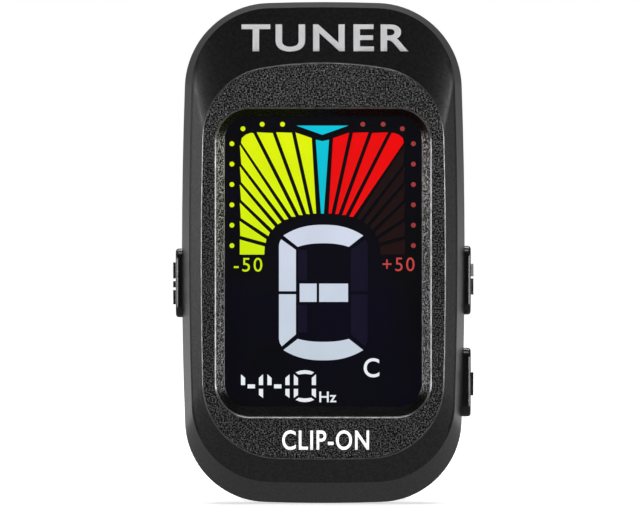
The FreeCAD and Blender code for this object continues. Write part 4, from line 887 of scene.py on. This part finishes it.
def printed(name, words, box, weight, level, glow, spacing):
    """Letters laid on the front shell along +Y, following its slope, as thin closed ink.

    The box is left, low, right and high in millimetres."""
    left, low, right, high = (edge * MM for edge in box)
    mesh = lettering(name, words, left, low, right, high, weight, spacing)
    drawing = bmesh.new()
    drawing.from_mesh(mesh)
    bmesh.ops.remove_doubles(drawing, verts=drawing.verts, dist=MERGE_GAP)
    sliced(drawing, low, high, (0, 0, 1))
    sliced(drawing, left, right, (1, 0, 0))
    outer = extruded(drawing)
    shell = surface_of("front_housing")
    start = CAD_BOX[0].y - 1 * MM
    for vertex in drawing.verts:
        hit = shell.ray_cast(Vector((vertex.co.x, start, vertex.co.z)), Vector((0, 1, 0)))[0]
        lift = PRINT_LIFT if vertex in outer else -PRINT_LIFT
        vertex.co = hit + Vector((0, -lift, 0))
    return placed(name, dressed(drawing, mesh, ink(name + "_ink", level, glow)), "head")


# The second number from the end is the ink's glow, a painted brightness.
printed("top_word", "TUNER", (-9.1, 50.35, 9.45, 53.4), 0.02, 0.7, 0.06, 1.15)
printed("low_word", "CLIP-ON", (-4.58, 6.04, 5.09, 8.24), 0.014, 0.95, 0.5, 1.1)


# ---------------------------------------------------------------- clip spring

PIVOT_LOW, PIVOT_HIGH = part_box("pivot_pin")
SPRING_LOW, SPRING_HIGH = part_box("torsion_spring")
PIVOT = ((PIVOT_LOW.y + PIVOT_HIGH.y) / 2, (PIVOT_LOW.z + PIVOT_HIGH.z) / 2)
WIRE = 0.35 * MM
COIL = 2.3 * MM
TURNS = 9
STEPS = 28
FRONT_TIP = (SPRING_LOW.y + WIRE, 43.0 * MM)
REAR_TIP = (19.25 * MM, 43.5 * MM)


def tangent_angle(place, turning):
    """The angle where a line from the place touches the coil's circle."""
    away = (place[0] - PIVOT[0], place[1] - PIVOT[1])
    return math.atan2(away[1], away[0]) + turning * math.acos(COIL / math.hypot(*away))


def coil_route():
    """The wire's centre line: front leg, turns along X, rear leg."""
    side = SPRING_HIGH.x - WIRE
    start = tangent_angle(FRONT_TIP, 1)
    end = tangent_angle(REAR_TIP, -1)
    sweep = (end - start) % (2 * math.pi) + 2 * math.pi * (TURNS - 1)
    route = [Vector((-side, *FRONT_TIP))]
    for step in range(TURNS * STEPS + 1):
        share = step / (TURNS * STEPS)
        turn = start + sweep * share
        y, z = PIVOT[0] + COIL * math.cos(turn), PIVOT[1] + COIL * math.sin(turn)
        route.append(Vector((-side + 2 * side * share, y, z)))
    route.append(Vector((side, *REAR_TIP)))
    return route


def wire_mesh(name, route, radius, material):
    """A round wire along the route, with closed ends."""
    curve = bpy.data.curves.new(name, "CURVE")
    curve.dimensions = "3D"
    curve.bevel_depth = radius
    curve.bevel_resolution = 4
    curve.use_fill_caps = True
    line = curve.splines.new("POLY")
    line.points.add(len(route) - 1)
    for point, place in zip(line.points, route):
        point.co = (*place, 1.0)
    mesh = mesh_of(curve)
    mesh.materials.clear()
    mesh.materials.append(material)
    mesh.shade_smooth()
    return new_object(name, mesh)


def wind_spring():
    spring = wire_mesh("clip_spring_wire", coil_route(), WIRE, FINISHES["spring"])
    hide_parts("torsion_spring")
    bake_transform(spring)


wind_spring()


# ---------------------------------------------------------------- marks on the back and the cell

# Outlines in millimetres; how far each mark stands out of its face, and is sunk into it
ARROW = [(-2.2, 0.0), (2.2, 0.0), (0.0, 2.4)]
ARROW_RISE = 12.2 * MM
ARROW_PROUD = 0.25 * MM
MARK_SUNK = 0.05 * MM
PLUS_LONG = 1.5 * MM
PLUS_WIDE = 0.3 * MM
STAMP_SUNK = 0.02 * MM
STAMP_PROUD = 0.03 * MM


def open_arrow():
    """A moulded arrow on the battery door that points the way it slides."""
    low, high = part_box("battery_door")
    middle = (low.x + high.x) / 2
    base = low.z + ARROW_RISE
    outline = [(middle + x * MM, base + z * MM) for x, z in ARROW]
    above = Vector((middle, high.y + 5 * MM, base + 1 * MM))
    skin = surface_of("battery_door").ray_cast(above, Vector((0, -1, 0)))[0].y

    def make(drawing):
        slab(drawing, outline, skin - MARK_SUNK, min(skin + ARROW_PROUD, CAD_BOX[1].y))
        bmesh.ops.bevel(
            drawing, geom=drawing.edges[:], offset=0.1 * MM, segments=3, affect="EDGES", profile=0.6
        )

    return built("door_arrow", make, FINISHES["keys"], "door")


open_arrow()


def cell_mark():
    """The plus sign pressed into the coin cell's rear face."""
    low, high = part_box("coin_cell")
    middle = ((low.x + high.x) / 2, (low.z + high.z) / 2)
    long, wide = PLUS_LONG, PLUS_WIDE
    half = [(long, wide), (wide, wide), (wide, long)]
    half += [(-wide, long), (-wide, wide), (-long, wide)]
    outline = half + [(-x, -z) for x, z in half]
    places = [(middle[0] + x, middle[1] + z) for x, z in outline]
    stamp = metal("stamped_mark", (0.3, 0.3, 0.31), 0.45)

    def make(drawing):
        slab(drawing, places, high.y - STAMP_SUNK, high.y + STAMP_PROUD)

    return built("cell_plus_mark", make, stamp, "head")


cell_mark()


# ---------------------------------------------------------------- floor, light and camera

FLOOR_HALF = 6.0
FLOOR_DROP = 0.02 * MM
FLOOR_NEAR, FLOOR_FAR = 0.3, 0.9
FLOOR_GLOW = (0.75, 1.35)
BOUNCE_FRONT = (-0.25, -0.04, 0.02, 0.3)
BOUNCE_BACK = (0.04, 0.15, 0.0, 0.6)
SKY_RAMP = (("From Min", -0.25), ("From Max", 0.6), ("To Min", 0.05), ("To Max", 0.18))


def studio_floor():
    """A pale seamless floor, evenly lit to its horizon.

    What it gives back to the tuner is set apart, and fades from behind the tuner to in front."""
    made = Recipe("floor_paper")
    path = made.add("ShaderNodeLightPath").outputs["Is Camera Ray"]
    fibre = made.noise(4 * MM, 3.0)
    tone = made.mixed(fibre, grey(0.78), grey(0.82))
    length = made.add("ShaderNodeVectorMath", operation="LENGTH")
    made.feed(length.inputs[0], made.place)
    paper = made.add("ShaderNodeBsdfPrincipled")
    made.feed(paper.inputs["Base Color"], tone)
    made.feed(paper.inputs["Roughness"], 0.8)
    made.feed(paper.inputs["Emission Color"], tone)
    glow = made.ramp(length.outputs["Value"], FLOOR_NEAR, FLOOR_FAR, *FLOOR_GLOW)
    made.feed(paper.inputs["Emission Strength"], glow)
    bounce = made.add("ShaderNodeEmission")
    made.feed(bounce.inputs["Color"], grey(1.0))
    front = made.ramp(made.axis("Y"), *BOUNCE_FRONT)
    back = made.ramp(made.axis("Y"), *BOUNCE_BACK)
    made.feed(bounce.inputs["Strength"], made.calc("ADD", front, back))
    mix = made.add("ShaderNodeMixShader")
    made.feed(mix.inputs[0], path)
    made.feed(mix.inputs[1], bounce.outputs[0])
    made.feed(mix.inputs[2], paper.outputs[0])

    drawing = bmesh.new()
    bmesh.ops.create_grid(drawing, x_segments=4, y_segments=4, size=FLOOR_HALF)
    for vertex in drawing.verts:
        vertex.co.z = CAD_BOX[0].z - FLOOR_DROP
    mesh = bpy.data.meshes.new("studio_floor")
    drawing.to_mesh(mesh)
    drawing.free()
    mesh.materials.append(made.output(mix.outputs[0]))
    floor = new_object("studio_floor", mesh)


def studio_sky():
    """White surroundings; the light they give is soft from behind and weaker from in front."""
    world = bpy.data.worlds.new("studio_sky")
    bpy.context.scene.world = world
    world.use_nodes = True
    tree = world.node_tree
    tree.nodes.clear()
    place = tree.nodes.new("ShaderNodeTexCoord")
    parts = tree.nodes.new("ShaderNodeSeparateXYZ")
    tree.links.new(place.outputs["Generated"], parts.inputs[0])
    ramp = tree.nodes.new("ShaderNodeMapRange")
    ramp.interpolation_type = "SMOOTHSTEP"
    for name, value in SKY_RAMP:
        ramp.inputs[name].default_value = value
    tree.links.new(parts.outputs["Y"], ramp.inputs["Value"])
    path = tree.nodes.new("ShaderNodeLightPath")
    choice = tree.nodes.new("ShaderNodeMix")
    tree.links.new(path.outputs["Is Camera Ray"], choice.inputs[0])
    tree.links.new(ramp.outputs[0], choice.inputs[2])
    choice.inputs[3].default_value = 1.0
    glow = tree.nodes.new("ShaderNodeBackground")
    tree.links.new(choice.outputs[0], glow.inputs["Strength"])
    glow.inputs["Color"].default_value = (1.0, 1.0, 1.0, 1.0)
    out = tree.nodes.new("ShaderNodeOutputWorld")
    tree.links.new(glow.outputs[0], out.inputs[0])


def softbox(name, azimuth, elevation, distance, wide, tall, power):
    """A soft panel aimed at the tuner; azimuth 0 is in front, 90 to the right."""
    turn, rise = math.radians(azimuth), math.radians(elevation)
    middle = (CAD_BOX[0] + CAD_BOX[1]) / 2
    level = math.cos(rise)
    away = Vector((math.sin(turn) * level, -math.cos(turn) * level, math.sin(rise)))
    data = bpy.data.lights.new(name, "AREA")
    data.shape = "RECTANGLE"
    data.size = wide
    data.size_y = tall
    data.energy = power
    lamp = new_object(name, data)
    lamp.location = middle + away * distance
    lamp.rotation_euler = away.to_track_quat("Z", "Y").to_euler()
    lamp.visible_camera = False


# Name, azimuth and elevation in degrees, distance, width and height in metres, power in watts
SOFTBOXES = (
    ("left_panel", -64, -6, 1.0, 1.0, 0.5, 19.0),
    ("right_panel", 62, -6, 1.0, 1.0, 0.5, 19.0),
    ("left_strip", -108, 0, 1.0, 0.28, 0.7, 0.7),
    ("overhead", 0, 72, 1.0, 0.9, 0.25, 4.0),
    ("top_panel", 180, 62, 1.0, 0.9, 0.3, 7.0),
)

studio_floor()
studio_sky()
for panel in SOFTBOXES:
    softbox(*panel)

SENSOR = 36.0
DISTANCE = 1.2
PICTURE_WIDE = 71.88 * MM
EYE_X = -0.2 * MM
EYE_Z = 27.5 * MM


def front_camera():
    """Straight on to the display; the picture's width is measured where the two shells part."""
    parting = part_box("front_housing")[1].y
    data = bpy.data.cameras.new("camera")
    data.sensor_width = SENSOR
    data.lens = SENSOR * DISTANCE / PICTURE_WIDE
    data.clip_start = 0.05
    data.clip_end = 30.0
    camera = new_object("camera", data)
    camera.location = (EYE_X, parting - DISTANCE, EYE_Z)
    camera.rotation_euler = (math.pi / 2, 0.0, 0.0)
    bpy.context.scene.camera = camera


front_camera()
bpy.context.scene.view_settings.view_transform = "Standard"
